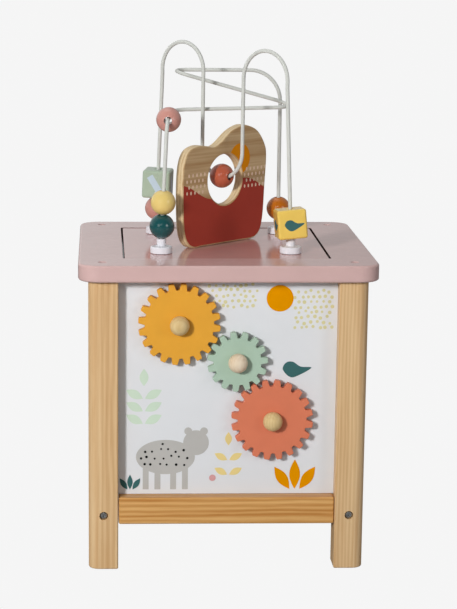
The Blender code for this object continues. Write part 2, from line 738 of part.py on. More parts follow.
def build_table(finishes):
    top_frame(finishes["pink_paint"])
    for depth, side_y in (("front", -1), ("back", 1)):
        for width, side_x in (("left", -1), ("right", 1)):
            place_name = depth + "_" + width
            leg("leg_" + place_name, side_x, side_y, finishes["pine"])
            top = Vector((side_x * TOP_SCREW_OFFSET, side_y * TOP_SCREW_OFFSET, TOP_Z - TOP_SCREW_SINK))
            bolt("top_screw_" + place_name, top, -UP, SCREW_HEAD_RADIUS, SCREW_HEAD_HEIGHT,
                 SCREW_RADIUS, TOP_SCREW_LENGTH, finishes["black_steel"])
            leg_bolts(place_name, side_x, side_y, finishes)
    for name, side, along_x in (("front", -1, True), ("back", 1, True), ("left", -1, False),
                                ("right", 1, False)):
        rail("rail_" + name, side, along_x, finishes["dark_pine"])
    floor_board(finishes["white_panel"])
    front_panel = panel("panel_front", -1, True, finishes["white_panel"])
    panel("panel_back", 1, True, finishes["white_panel"])
    panel("panel_left", -1, False, finishes["white_panel"])
    panel("panel_right", 1, False, finishes["white_panel"])
    gear_train(front_panel, finishes)


def leg_bolts(place_name, side_x, side_y, finishes):
    """The two bolts through a leg into its rails, with their barrel nuts."""
    head = LEG_FACE - COUNTERBORE_DEPTH + BOLT_HEAD_HEIGHT + GAP
    for axis_name, height in (("x", BOLT_HEIGHT_X), ("y", BOLT_HEIGHT_Y)):
        if axis_name == "x":
            top = Vector((side_x * head, side_y * BOLT_OFFSET, height))
            inward = Vector((-side_x, 0, 0))
            centre = Vector((side_x * NUT_POSITION, side_y * BOLT_OFFSET, height))
            nut_axis = Vector((0, side_y, 0))
        else:
            top = Vector((side_x * BOLT_OFFSET, side_y * head, height))
            inward = Vector((0, -side_y, 0))
            centre = Vector((side_x * BOLT_OFFSET, side_y * NUT_POSITION, height))
            nut_axis = Vector((side_x, 0, 0))
        bolt("bolt_" + axis_name + "_" + place_name, top, inward, BOLT_HEAD_RADIUS, BOLT_HEAD_HEIGHT,
             BOLT_RADIUS, BOLT_LENGTH, finishes["steel"])
        barrel_nut("nut_" + axis_name + "_" + place_name, centre, nut_axis, inward, finishes["steel"])


def build_play_board(finishes):
    play_board(finishes["pink_paint"])
    hill_board(finishes["plywood"])
    for index, point in enumerate(hill_screw_points()):
        side = ("left", "right")[index]
        start = Vector((point.x, point.y, BOARD_TOP - BOARD_THICKNESS + GAP))
        bolt("hill_screw_" + side, start, UP, SCREW_HEAD_RADIUS, HILL_SCREW_HEAD_HEIGHT, SCREW_RADIUS,
             HILL_SCREW_LENGTH, finishes["steel"])
    for depth, side_y in (("front", -1), ("back", 1)):
        for width, side_x in (("left", -1), ("right", 1)):
            post_cap("cap_" + depth + "_" + width, side_x, side_y, finishes["white_plastic"])
    wire_object("wire_arched", arched_route(), finishes["wire"])
    wire_object("wire_looped", bent_route(looped_corners()), finishes["wire"])
    bead_maze(finishes)


def make_finishes():
    return {
        "pink_paint": material("pink_paint", (0.60, 0.47, 0.44), 0.35),
        "pine": material("pine", (0.68, 0.45, 0.24), 0.55),
        "dark_pine": material("dark_pine", (0.58, 0.33, 0.13), 0.5),
        "white_panel": material("white_panel", (0.84, 0.85, 0.85), 0.45),
        "plywood": material("plywood", (0.46, 0.32, 0.17), 0.55),
        "wire": material("wire", (0.74, 0.76, 0.73), 0.35),
        "white_plastic": material("white_plastic", (0.84, 0.83, 0.87), 0.35),
        "knob": material("knob", (0.74, 0.60, 0.36), 0.45),
        "steel": material("steel", (0.62, 0.62, 0.63), 0.35, 1.0),
        "black_steel": material("black_steel", (0.05, 0.05, 0.05), 0.45, 1.0),
        "yellow_gear": material("yellow_gear", (0.72, 0.40, 0.06), 0.4),
        "green_gear": material("green_gear", (0.39, 0.53, 0.44), 0.4),
        "coral_gear": material("coral_gear", (0.66, 0.21, 0.12), 0.4),
        "teal": material("teal", (0.013, 0.09, 0.09), 0.3),
        "yellow": material("yellow", (0.80, 0.55, 0.14), 0.35),
        "pink": material("pink", (0.62, 0.26, 0.22), 0.35),
        "red": material("red", (0.60, 0.11, 0.045), 0.3),
        "amber": material("amber", (0.58, 0.18, 0.01), 0.3),
        "sage": material("sage", (0.40, 0.55, 0.44), 0.4),
    }


FINISHES = make_finishes()
build_table(FINISHES)
build_play_board(FINISHES)
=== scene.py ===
"""The looks of a wooden activity cube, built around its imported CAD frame.

Lengths are in metres. The footprint is centred on the origin, +Z is up and the gear
panel faces -Y. Every mesh is made in that frame, so a material's object coordinates
are the row's own.
"""
import math
import random

import bmesh
import bpy
from mathutils import Matrix, Vector


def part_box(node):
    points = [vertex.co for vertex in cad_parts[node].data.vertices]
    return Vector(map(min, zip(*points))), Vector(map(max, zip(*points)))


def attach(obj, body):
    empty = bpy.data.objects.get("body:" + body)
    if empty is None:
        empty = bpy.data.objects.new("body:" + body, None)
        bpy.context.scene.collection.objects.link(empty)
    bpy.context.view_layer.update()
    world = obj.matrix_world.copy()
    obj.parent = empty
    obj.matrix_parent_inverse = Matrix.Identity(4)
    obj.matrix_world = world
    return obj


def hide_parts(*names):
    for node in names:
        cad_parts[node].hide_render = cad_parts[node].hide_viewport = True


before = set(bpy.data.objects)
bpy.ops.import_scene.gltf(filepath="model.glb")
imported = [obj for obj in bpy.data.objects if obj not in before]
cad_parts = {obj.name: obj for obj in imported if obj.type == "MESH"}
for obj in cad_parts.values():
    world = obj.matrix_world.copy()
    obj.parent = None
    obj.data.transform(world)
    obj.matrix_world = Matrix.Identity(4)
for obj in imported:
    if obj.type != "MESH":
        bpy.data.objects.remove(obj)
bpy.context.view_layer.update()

MM = 0.001
GAP = 0.3 * MM
UP = Vector((0, 0, 1))
CROSS = Vector((1, -1, 0)).normalized()

TOP_Z = 315 * MM
BOARD_TOP = 314.5 * MM
PANEL_FACE = 124 * MM
PANEL_THICKNESS = 6 * MM
LEG_FACE = 140 * MM
RAIL_END = 111 * MM
SHANK_HOLE = 2.3 * MM
INK_THICKNESS = 0.1 * MM
INK_RISE = 0.03 * MM
BOARD_THICKNESS = 8.2 * MM
POST_OFFSET = 67 * MM
LOOPED_POST_X = 65.5 * MM
WIRE_RADIUS = 2 * MM
WIRE_HOLE_RADIUS = 2.4 * MM
STRAIGHT_FOOT = 16 * MM
ARCH_RADIUS = 29.4 * MM
ARCH_CENTRE = 57.3 * MM
FRONT_ARCH_SPRING = 174.2 * MM
BACK_ARCH_SPRING = 178.3 * MM
DIP_RADIUS = 27.9 * MM
DIP_CENTRE = (-0.5 * MM, 97.5 * MM)
BEAD_RADIUS = 12.75 * MM
BORE_RADIUS = 4 * MM
CUBE_HALF = 15 * MM
HILL_HALF = 5.25 * MM
HILL_HOLE = (-1 * MM, 68 * MM, 26.4 * MM)
GEAR_MODULE = 4 * MM
GEAR_FACE = 134.5 * MM
GEAR_THICKNESS = 7.5 * MM
GEAR_ADDENDUM = {20: 1.4 * MM, 15: 0.65 * MM}
TOOTH_DEPTH = 6.6 * MM
PEG_RADIUS = 4 * MM
PEG_HEAD_RADIUS = 9.8 * MM
PEG_HEAD_CENTRE = 139.9 * MM
SIDES = (("front", Vector((0, -1, 0))), ("back", Vector((0, 1, 0))),
         ("left", Vector((-1, 0, 0))), ("right", Vector((1, 0, 0))))
CORNERS = [(depth + "_" + width, side_x, side_y)
           for depth, side_y in (("front", -1), ("back", 1))
           for width, side_x in (("left", -1), ("right", 1))]


# Materials

def colour(red, green, blue):
    """A linear colour from display values of 0 to 255."""
    def linear(value):
        share = value / 255
        return share / 12.92 if share <= 0.04045 else ((share + 0.055) / 1.055) ** 2.4
    return (linear(red), linear(green), linear(blue), 1)


def tinted(base, share):
    return (*(min(1, value * share) for value in base[:3]), 1)


def add(tree, kind, inputs, **settings):
    item = tree.nodes.new("ShaderNode" + kind)
    for key, value in settings.items():
        setattr(item, key, value)
    for key, value in inputs.items():
        if isinstance(value, bpy.types.NodeSocket):
            tree.links.new(value, item.inputs[key])
        else:
            item.inputs[key].default_value = value
    return item


def ramp(tree, factor, stops):
    item = add(tree, "ValToRGB", {"Fac": factor})
    elements = item.color_ramp.elements
    while len(elements) < len(stops):
        elements.new(0.5)
    for element, (position, shade) in zip(elements, stops):
        element.position = position
        element.color = shade
    return item.outputs["Color"]


def spread(tree, value, low, high, start=0.3, end=0.7):
    """Maps a value's range, by default the usual one of noise, onto low to high."""
    return add(tree, "MapRange", {"Value": value, "From Min": start, "From Max": end,
                                  "To Min": low, "To Max": high}).outputs["Result"]


def noise(tree, vector, scale, detail=2.0, rough=0.5):
    return add(tree, "TexNoise", {"Vector": vector, "Scale": scale, "Detail": detail,
                                  "Roughness": rough}).outputs["Fac"]


def blank(name):
    finish = bpy.data.materials.new(name)
    finish.use_nodes = True
    tree = finish.node_tree
    return finish, tree, tree.nodes["Principled BSDF"]


def connect(tree, shader, **sockets):
    for name, value in sockets.items():
        socket = shader.inputs[name.replace("_", " ")]
        if isinstance(value, bpy.types.NodeSocket):
            tree.links.new(value, socket)
        else:
            socket.default_value = value


def paint(name, base, roughness=0.3, coat=0.0, tone=0.05, grain=None, peel=0.004 * MM, gloss=0.5,
          painted_shade_box=None):
    """Paint or moulded plastic: soft clouds of tone, uneven gloss and a fine surface.

    Given a box's far corner as its last argument, it paints the walls inside that box dark brown: painted
    shade for the narrow, deep gap round the lift-out board.
    """
    finish, tree, shader = blank(name)
    spot = add(tree, "TexCoord", {}).outputs["Object"]
    clouds = noise(tree, spot, 45, 3)
    stops = [(0.3, tinted(base, 1 - tone)), (0.7, tinted(base, 1 + tone))]
    if painted_shade_box is not None:
        # Painted shade: the walls inside the box turn dark brown, where the gap round the board lies in
        # shade.
        sides = add(tree, "SeparateXYZ", {"Vector": spot}).outputs
        clouds = add(tree, "Math", {0: clouds, 1: 0.7}, operation="MINIMUM").outputs["Value"]
        inside = 1.0
        for axis, reach in zip("XYZ", painted_shade_box):
            span = add(tree, "Math", {0: sides[axis]}, operation="ABSOLUTE").outputs["Value"]
            within = add(tree, "Math", {0: span, 1: reach}, operation="LESS_THAN").outputs["Value"]
            inside = add(tree, "Math", {0: inside, 1: within}, operation="MULTIPLY").outputs["Value"]
        clouds = add(tree, "Math", {0: clouds, 1: inside}, operation="MAXIMUM").outputs["Value"]
        # The dark brown of the painted shade in the gap.
        stops.append((0.95, colour(58, 40, 34)))
    height = noise(tree, spot, 700, 2)
    if grain is not None:
        squeeze = [260, 260, 260]
        squeeze[grain] = 9
        along = add(tree, "Mapping", {"Vector": spot, "Scale": squeeze}).outputs["Vector"]
        fibres = noise(tree, along, 1, 3)
        height = add(tree, "Math", {0: height, 1: fibres}, operation="ADD").outputs["Value"]
    lumps = add(tree, "Bump", {"Height": height, "Strength": 1.0, "Distance": peel})
    connect(tree, shader, Base_Color=ramp(tree, clouds, stops), Coat_Weight=coat,
            Coat_Roughness=0.12, Specular_IOR_Level=gloss, Normal=lumps.outputs["Normal"],
            Roughness=spread(tree, noise(tree, spot, 160, 3), roughness * 0.85, roughness * 1.15))
    return finish


def wood(name, pale, dark, along, spacing, pith, roughness=0.45, figure=1.0):
    """Clear wood: growth rings round an axis, fine fibres and slow changes of tone.

    With along None it is the hill board's plywood, with plies, and its edges are painted paler than its
    faces: a painted highlight for edges that catch the light.
    """
    finish, tree, shader = blank(name)
    spot = add(tree, "TexCoord", {}).outputs["Object"]
    plies = along is None
    if plies:
        along = 0
        turn = (0, 0, math.radians(-45))
        spot = add(tree, "Mapping", {"Vector": spot, "Rotation": turn}).outputs["Vector"]
    squeeze = [1, 1, 1]
    squeeze[along] = 0.11
    grain = add(tree, "Mapping", {"Vector": spot, "Location": pith, "Scale": squeeze}).outputs["Vector"]
    rings = add(tree, "TexWave", {"Vector": grain, "Scale": 0.314 / spacing, "Distortion": 4.0,
                                  "Detail": 3, "Detail Scale": 0.8, "Detail Roughness": 0.55},
                wave_type="RINGS", rings_direction="XYZ"[along]).outputs["Fac"]
    fine = [600, 600, 600]
    fine[along] = 14
    threads = add(tree, "Mapping", {"Vector": spot, "Scale": fine}).outputs["Vector"]
    fibres = noise(tree, threads, 1, 3, 0.6)
    broad = [110, 110, 110]
    broad[along] = 4
    bands = add(tree, "Mapping", {"Vector": spot, "Scale": broad}).outputs["Vector"]
    parts = (spread(tree, rings, 0.0, 0.34 * figure, 0.0, 1.0), spread(tree, fibres, 0.0, 0.3),
             spread(tree, noise(tree, bands, 1, 2), 0.0, 0.36))
    mixed = add(tree, "Math", {0: parts[0], 1: parts[1]}, operation="ADD").outputs["Value"]
    mixed = add(tree, "Math", {0: mixed, 1: parts[2]}, operation="ADD").outputs["Value"]
    if plies:
        layers = add(tree, "TexWave", {"Vector": spot, "Scale": 0.314 / (3.5 * MM), "Distortion": 0.4,
                                       "Detail": 2, "Detail Scale": 3},
                     wave_type="BANDS", bands_direction="Y").outputs["Fac"]
        mixed = add(tree, "Math", {0: mixed, 1: spread(tree, layers, -0.25, 0.25, 0.3, 0.8)},
                    operation="ADD").outputs["Value"]
        # Painted highlight: where the normal lies in the board's plane, on the edges, the tone is made
        # paler than on the faces.
        outward = add(tree, "TexCoord", {}).outputs["Normal"]
        outward = add(tree, "Mapping", {"Vector": outward, "Rotation": turn}).outputs["Vector"]
        facing = add(tree, "SeparateXYZ", {"Vector": outward}).outputs["Y"]
        facing = add(tree, "Math", {0: facing}, operation="ABSOLUTE").outputs["Value"]
        mixed = add(tree, "Math", {0: mixed, 1: spread(tree, facing, -0.3, 0.0, 0.4, 0.9)},
                    operation="ADD").outputs["Value"]
    tone = ramp(tree, mixed, [(0.0, tinted(pale, 0.92)), (0.1, pale), (0.95, dark)])
    lumps = add(tree, "Bump", {"Height": fibres, "Strength": 1.0, "Distance": 0.015 * MM})
    connect(tree, shader, Base_Color=tone, Normal=lumps.outputs["Normal"],
            Roughness=spread(tree, fibres, roughness * 0.9, roughness * 1.15))
    return finish


def metal(name, base, roughness):
    """Bare or blackened steel with fine turning marks and scuffs."""
    finish, tree, shader = blank(name)
    spot = add(tree, "TexCoord", {}).outputs["Object"]
    scuffs = noise(tree, spot, 420, 4, 0.65)
    tone = ramp(tree, scuffs, [(0.3, tinted(base, 0.8)), (0.7, tinted(base, 1.1))])
    lumps = add(tree, "Bump", {"Height": noise(tree, spot, 1500, 2), "Strength": 0.2,
                               "Distance": 0.03 * MM})
    connect(tree, shader, Base_Color=tone, Metallic=1.0, Normal=lumps.outputs["Normal"],
            Roughness=spread(tree, scuffs, roughness * 0.8, roughness * 1.3))
    return finish


def make_finishes():
    pine_pale = colour(228, 196, 150)
    pine_dark = colour(198, 154, 104)
    rail_pale = colour(226, 178, 112)
    rail_dark = colour(188, 128, 62)
    birch_pale = colour(226, 202, 160)
    birch_dark = colour(176, 138, 92)
    return {
        # The frame's rebate walls get painted shade, dark brown, for the deep gap round the board.
        "frame_paint": paint("pink_frame_paint", colour(208, 174, 170), 0.2, 0.0, 0.02, 0, 0.003 * MM,
                             painted_shade_box=(105.3 * MM, 104.0 * MM, TOP_Z - 0.25 * MM)),
        "board_paint": paint("pink_board_paint", colour(203, 160, 154), 0.12, 0.0, 0.02, 0, 0.001 * MM,
                             0.8),
        "pine": wood("pine_upright", pine_pale, pine_dark, 2, 3 * MM, (0.052, 0.036, 0.3), 0.42),
        "dark_pine_x": wood("oiled_pine_x", rail_pale, rail_dark, 0, 3.4 * MM,
                            (0.2, 0.036, 0.021), 0.38, 1.4),
        "dark_pine_y": wood("oiled_pine_y", rail_pale, rail_dark, 1, 3.4 * MM,
                            (0.036, 0.2, 0.021), 0.38, 1.4),
        "white_panel": paint("white_panel_film", colour(224, 226, 229), 0.4, 0.0, 0.01, gloss=0.3),
        # This finish paints the hill board's edges paler than its faces, a painted highlight.
        "plywood": wood("birch_plywood", birch_pale, birch_dark, None, 5 * MM, (0.1, 0.5, -0.25), 0.5,
                        0.8),
        "wire_coating": paint("wire_coating", colour(210, 212, 206), 0.34, 0.0, 0.015, peel=0.0002 * MM),
        "white_plastic": paint("white_plastic", colour(232, 232, 238), 0.26, 0.0, 0.015, peel=0.002 * MM),
        "knob_wood": wood("turned_beech", colour(226, 202, 150), colour(204, 170, 112), 2, 3 * MM,
                          (0.05, 0.1, 0), 0.36, 0.6),
        "pale_knob_wood": wood("turned_maple", colour(234, 218, 194), colour(216, 192, 158), 2, 3 * MM,
                               (0.05, 0.1, 0), 0.36, 0.6),
        "steel": metal("bright_steel", colour(190, 192, 192), 0.32),
        "black_steel": metal("black_steel", colour(76, 73, 71), 0.4),
        "yellow_gear_paint": paint("mustard_paint", colour(228, 164, 56), 0.45, 0.0, 0.03, 0, gloss=0.3),
        "green_gear_paint": paint("sage_gear_paint", colour(172, 196, 176), 0.45, 0.0, 0.03, 0, gloss=0.3),
        "coral_gear_paint": paint("coral_gear_paint", colour(218, 124, 92), 0.45, 0.0, 0.03, 0, gloss=0.3),
        "teal_paint": paint("teal_gloss_paint", colour(20, 78, 80), 0.2, 0.3, 0.05, 2),
        "yellow_paint": paint("yellow_gloss_paint", colour(238, 202, 98), 0.24, 0.2, 0.03, 2),
        "pale_yellow_paint": paint("pale_yellow_gloss_paint", colour(230, 202, 122), 0.24, 0.2, 0.03, 2),
        "pink_bead_paint": paint("rose_gloss_paint", colour(204, 146, 134), 0.24, 0.2, 0.03, 2),
        "red_paint": paint("red_gloss_paint", colour(184, 92, 66), 0.2, 0.3, 0.04, 2),
        "amber_paint": paint("amber_gloss_paint", colour(188, 104, 16), 0.22, 0.2, 0.04, 2),
        "sage_paint": paint("sage_cube_paint", colour(176, 194, 172), 0.3, 0.1, 0.03, 0),
    }


def ink(name, red, green, blue, roughness=0.5, gloss=0.2):
    return paint("ink_" + name, colour(red, green, blue), roughness, 0.0, 0.03, gloss=gloss)


def make_inks():
    shades = {
        "orange": (224, 146, 0, 0.6, 0.0),
        "teal": (60, 104, 104),
        "olive": (214, 208, 158),
        "mint": (204, 222, 202),
        "straw": (232, 210, 140),
        "grey": (186, 184, 180),
        "black": (16, 15, 16),
        "rose": (214, 160, 160),
        "brick": (168, 62, 48, 0.34),
        "amber": (220, 136, 4, 0.5, 0.1),
        "dust": (232, 206, 182),
        "sky": (196, 214, 226),
    }
    return {name: ink(name, *shade) for name, shade in shades.items()}


# Mesh helpers

def middle_of(node):
    low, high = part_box(node)
    return (low + high) / 2


def in_mm(points):
    return [(x * MM, y * MM) for x, y in points]


def add_object(name, mesh):
    item = bpy.data.objects.new(name, mesh)
    bpy.context.scene.collection.objects.link(item)
    return item


def from_shape(name, shape, matrix=None):
    """An object from a bmesh, in the row frame."""
    bmesh.ops.remove_doubles(shape, verts=shape.verts, dist=0.002 * MM)
    if matrix is not None:
        bmesh.ops.transform(shape, matrix=matrix, verts=shape.verts)
    bmesh.ops.recalc_face_normals(shape, faces=shape.faces)
    mesh = bpy.data.meshes.new(name)
    shape.to_mesh(mesh)
    shape.free()
    return add_object(name, mesh)


def evaluated(item):
    bpy.context.view_layer.update()
    graph = bpy.context.evaluated_depsgraph_get()
    return bpy.data.meshes.new_from_object(item.evaluated_get(graph))


def carve(item, cutters, operation="DIFFERENCE"):
    """Applies booleans to a piece and removes their cutters."""
    for cutter in cutters:
        boolean = item.modifiers.new(cutter.name, "BOOLEAN")
        boolean.operation = operation
        boolean.solver = "EXACT"
        boolean.object = cutter
    mesh = evaluated(item)
    item.modifiers.clear()
    item.data = mesh
    for cutter in cutters:
        bpy.data.objects.remove(cutter, do_unlink=True)
    return item


def skin(rings, closed=False, capped=True):
    """Joins rings of equally many points with faces; closed joins the last to the first."""
    shape = bmesh.new()
    loops = [[shape.verts.new(point) for point in ring] for ring in rings]
    pairs = list(zip(loops, loops[1:]))
    if closed:
        pairs.append((loops[-1], loops[0]))
    count = len(loops[0])
    for lower, upper in pairs:
        for index in range(count):
            after = (index + 1) % count
            shape.faces.new((lower[index], lower[after], upper[after], upper[index]))
    if capped and not closed:
        shape.faces.new(list(reversed(loops[0])))
        shape.faces.new(loops[-1])
    return shape


def turned(name, profile, matrix, steps=48, closed=False):
    """A lathe shape from (radius, height) points; an end at radius 0 is a pole."""
    rings = []
    for radius, height in profile:
        angles = [2 * math.pi * index / steps for index in range(steps)]
        rings.append([(radius * math.cos(a), radius * math.sin(a), height) for a in angles])
    return from_shape(name, skin(rings, closed, False), matrix)


def fillet(points, radii, steps=5):
    """Rounds the corners of a line of (x, y) points; a radius of 0 keeps a corner sharp."""
    rounded = [points[0]]
    for before, here, after, radius in zip(points, points[1:], points[2:], radii[1:]):
        rounded += rounded_corner(before, here, after, radius, steps)
    return rounded + [points[-1]]


def rounded_corner(before, here, after, radius, steps):
    corner = Vector(here)
    inward = (corner - Vector(before)).normalized()
    outward = (Vector(after) - corner).normalized()
    turn = inward.angle(outward, 0)
    if radius == 0 or turn < 0.001:
        return [here]
    side = (outward - inward * inward.dot(outward)).normalized()
    start = corner - inward * radius * math.tan(turn / 2)
    angles = [turn * index / steps for index in range(steps + 1)]
    return [tuple(start + inward * radius * math.sin(a) + side * radius * (1 - math.cos(a)))
            for a in angles]


def fillet_outline(points, radii, steps=5):
    """Rounds every corner of a closed outline."""
    outline = []
    for index, here in enumerate(points):
        before = points[index - 1]
        after = points[(index + 1) % len(points)]
        outline += rounded_corner(before, here, after, radii[index], steps)
    return outline


def aim(direction, at):
    """A matrix at a point whose +Z points along a direction."""
    turn = Vector(direction).to_track_quat("Z", "Y").to_matrix().to_4x4()
    return Matrix.Translation(at) @ turn


def rod(radius, start, direction, length, steps=32):
    """A round cutter that runs from a start point along a direction."""
    profile = [(0, 0), (radius, 0), (radius, length), (0, length)]
    return turned("cutter", profile, aim(direction, start), steps)


def corner_ring(low, high, radii, height, inset, steps=6):
    """A level ring: a rectangle with its own radius at each corner, shrunk by an inset."""
    points = []
    for quarter, (side_x, side_y) in enumerate(((1, 1), (-1, 1), (-1, -1), (1, -1))):
        radius = max(radii[quarter] - inset, 0.15 * MM)
        reach = inset + radius
        centre_x = high.x - reach if side_x > 0 else low.x + reach
        centre_y = high.y - reach if side_y > 0 else low.y + reach
        for step in range(steps + 1):
            angle = (quarter + step / steps) * math.pi / 2
            points.append((centre_x + radius * math.cos(angle), centre_y + radius * math.sin(angle),
                           height))
    return points


def slab_rings(low, high, radii, edge_low, edge_high, steps=5):
    """Rings of a slab from its bottom to its top, with both edges rounded."""
    angles = [math.pi / 2 * step / steps for step in range(steps + 1)]
    lower = [corner_ring(low, high, radii, low.z + edge_low * (1 - math.cos(a)),
                         edge_low * (1 - math.sin(a))) for a in angles]
    upper = [corner_ring(low, high, radii, high.z - edge_high * (1 - math.sin(a)),
                         edge_high * (1 - math.cos(a))) for a in angles]
    return lower + upper


def box_shape(low, high):
    shape = bmesh.new()
    bmesh.ops.create_cube(shape, size=1)
    bmesh.ops.scale(shape, vec=high - low, verts=shape.verts)
    bmesh.ops.translate(shape, vec=(low + high) / 2, verts=shape.verts)
    return shape


def soft_box(name, low, high, edge, segments=4):
    """A box whose edges and corners are all rounded."""
    shape = box_shape(low, high)
    bmesh.ops.bevel(shape, geom=list(shape.edges), offset=edge, segments=segments, profile=0.5,
                    affect="EDGES")
    return from_shape(name, shape)


def plain_box(low, high):
    """A box cutter."""
    return from_shape("cutter", box_shape(low, high))


def plate(name, outlines, thickness, edge, matrix, bands=3):
    """A flat plate from closed outlines, holes among them, with rounded edges."""
    data = bpy.data.curves.new(name, "CURVE")
    data.dimensions = "2D"
    data.fill_mode = "BOTH"
    data.extrude = thickness / 2 - edge
    data.bevel_depth = edge
    data.bevel_resolution = bands
    data.offset = -edge
    for points in outlines:
        spline = data.splines.new("POLY")
        spline.points.add(len(points) - 1)
        for point, (x, y) in zip(spline.points, points):
            point.co = (x, y, 0, 1)
        spline.use_cyclic_u = True
    item = add_object(name, data)
    shape = bmesh.new()
    shape.from_mesh(evaluated(item))
    bpy.data.objects.remove(item, do_unlink=True)
    return from_shape(name, shape, matrix)


def tube(name, route, radius, sides=20):
    """A round wire along a route of points, closed at its ends."""
    rings = []
    forward = (route[1] - route[0]).normalized()
    side = forward.orthogonal().normalized()
    for index, point in enumerate(route):
        before = route[max(index - 1, 0)]
        after = route[min(index + 1, len(route) - 1)]
        forward = (after - before).normalized()
        side = (side - forward * side.dot(forward)).normalized()
        other = forward.cross(side)
        angles = [2 * math.pi * step / sides for step in range(sides)]
        rings.append([point + (side * math.cos(a) + other * math.sin(a)) * radius for a in angles])
    return from_shape(name, skin(rings))


def soften(item, angle=38):
    """Smooth shading with creases at sharp edges and flat faces kept flat."""
    item.data.shade_smooth()
    item.data.set_sharp_from_angle(angle=math.radians(angle))
    normals = item.modifiers.new("even_normals", "WEIGHTED_NORMAL")
    normals.keep_sharp = True
    return item


def fit(item, finish, body, nodes=(), angle=38):
    """Gives a piece its finish and shading, parents it to its body and hides the CAD nodes it stands for.
    """
    item.data.materials.clear()
    item.data.materials.append(finish)
    soften(item, angle)
    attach(item, body)
    if nodes:
        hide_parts(*nodes)
    return item


# Table

def build_top(finishes):
    """The pink top: a frame with a rebate for the lift-out board and four screw holes."""
    low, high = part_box("top_frame")
    edge = 2.5 * MM
    rings = slab_rings(low, high, [21 * MM] * 4, edge, edge, 6)
    ledge = BOARD_TOP - BOARD_THICKNESS - GAP
    rebate = Vector((105.1 * MM, 103.8 * MM, 0))
    opening = Vector((95 * MM, 95 * MM, 0))
    lip = 0.4 * MM
    for height, inset in ((high.z, -lip), (high.z - 0.3 * lip, -0.3 * lip), (high.z - lip, 0),
                          (ledge, 0)):
        rings.append(corner_ring(-rebate, rebate, [3 * MM] * 4, height, inset))
    for height, inset in ((ledge, -lip), (ledge - 0.3 * lip, -0.3 * lip), (ledge - lip, 0),
                          (low.z + lip, 0), (low.z, -lip)):
        rings.append(corner_ring(-opening, opening, [4 * MM] * 4, height, inset))
    top = from_shape("table_top", skin(rings, True))
    profile = [(0, 1), (5.0, 1), (4.4, -0.1), (4.1, -0.6), (4.1, -5.3), (2.3, -5.3), (2.3, -20), (0, -20)]
    holes = []
    for name, side_x, side_y in CORNERS:
        middle = middle_of("top_screw_" + name)
        holes.append(turned("cutter", in_mm(profile), Matrix.Translation((middle.x, middle.y, high.z)), 32))
    carve(top, holes)
    fit(top, finishes["frame_paint"], "table", ["top_frame"])


def build_legs(finishes):
    for name, side_x, side_y in CORNERS:
        low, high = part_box("leg_" + name)
        radii = [11 * MM if (side_x, side_y) == corner else 1.8 * MM
                 for corner in ((1, 1), (-1, 1), (-1, -1), (1, -1))]
        leg = from_shape("leg_" + name + "_wood", skin(slab_rings(low, high, radii, 1.5 * MM, 1 * MM)))
        cutters = []
        for axis in ("x", "y"):
            middle = middle_of("bolt_" + axis + "_" + name)
            outward = Vector((side_x, 0, 0)) if axis == "x" else Vector((0, side_y, 0))
            at = middle + outward * (LEG_FACE - middle.dot(outward))
            profile = [(0, 1), (4.7, 1), (4.4, -0.1), (4.3, -0.4), (4.3, -6), (2.3, -6), (2.3, -31),
                       (0, -31)]
            cutters.append(turned("cutter", in_mm(profile), aim(outward, at), 32))
            cutters.append(groove(side_x, side_y, axis == "y"))
        middle = middle_of("top_screw_" + name)
        cutters.append(rod(SHANK_HOLE, Vector((middle.x, middle.y, 262 * MM)), UP, 50 * MM))
        carve(leg, cutters)
        fit(leg, finishes["pine"], "table", ["leg_" + name])


def groove(side_x, side_y, along_x):
    """The groove in a leg that takes a panel's edge."""
    across = (PANEL_FACE - PANEL_THICKNESS - GAP, PANEL_FACE + GAP)
    into = (109 * MM, 115 * MM)
    x_span, y_span = (into, across) if along_x else (across, into)
    xs = sorted(side_x * value for value in x_span)
    ys = sorted(side_y * value for value in y_span)
    return plain_box(Vector((xs[0], ys[0], 75 * MM)), Vector((xs[1], ys[1], TOP_Z)))


def build_rails(finishes):
    for name, outward in SIDES:
        low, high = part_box("rail_" + name)
        rail = soft_box("rail_" + name + "_wood", low, high, 2 * MM)
        along = "x" if outward.x == 0 else "y"
        cutters = []
        for corner, side_x, side_y in CORNERS:
            if outward.x * side_x + outward.y * side_y < 0:
                continue
            bolt = middle_of("bolt_" + along + "_" + corner)
            nut = middle_of("nut_" + along + "_" + corner)
            way = Vector((side_x, 0, 0)) if along == "x" else Vector((0, side_y, 0))
            start = bolt + way * (RAIL_END - bolt.dot(way))
            cutters.append(rod(SHANK_HOLE, start, -way, 39 * MM, 24))
            start = nut + outward * (RAIL_END - nut.dot(outward))
            cutters.append(rod(4.8 * MM, start, outward, 22.3 * MM, 24))
        carve(rail, cutters)
        fit(rail, finishes["dark_pine_" + along], "table", ["rail_" + name])


def socket_screw(name, node, outward, head, height, shank, finish, body="table"):
    """A socket-head screw with a rounded head and a hexagonal socket."""
    low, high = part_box(node)
    middle = (low + high) / 2
    reach = (high - low).dot(Vector([abs(value) for value in outward])) / 2
    top = middle + outward * reach
    length = reach * 2
    line = [(0, 0), (head, 0), (head, -height), (shank, -height), (shank, -length), (0, -length)]
    profile = fillet(line, [0, 0.8 * MM, 0.3 * MM, 0.3 * MM, 0.5 * MM, 0])
    screw = turned(name, profile, aim(outward, top), 32)
    key = head * 0.56
    socket = [(0, 1 * MM), (key, 1 * MM), (key, -0.62 * height), (0, -0.62 * height - key * 0.4)]
    carve(screw, [turned("cutter", socket, aim(outward, top), 6)])
    fit(screw, finish, body, [node])


def build_screws(finishes):
    for name, side_x, side_y in CORNERS:
        for axis, outward in (("x", Vector((side_x, 0, 0))), ("y", Vector((0, side_y, 0)))):
            node = "bolt_" + axis + "_" + name
            socket_screw(node + "_steel", node, outward, 3.5 * MM, 4 * MM, 2 * MM,
                         finishes["steel"])
        node = "top_screw_" + name
        socket_screw(node + "_steel", node, UP, 3.7 * MM, 3 * MM, 2 * MM, finishes["black_steel"])


# Play board and bead maze

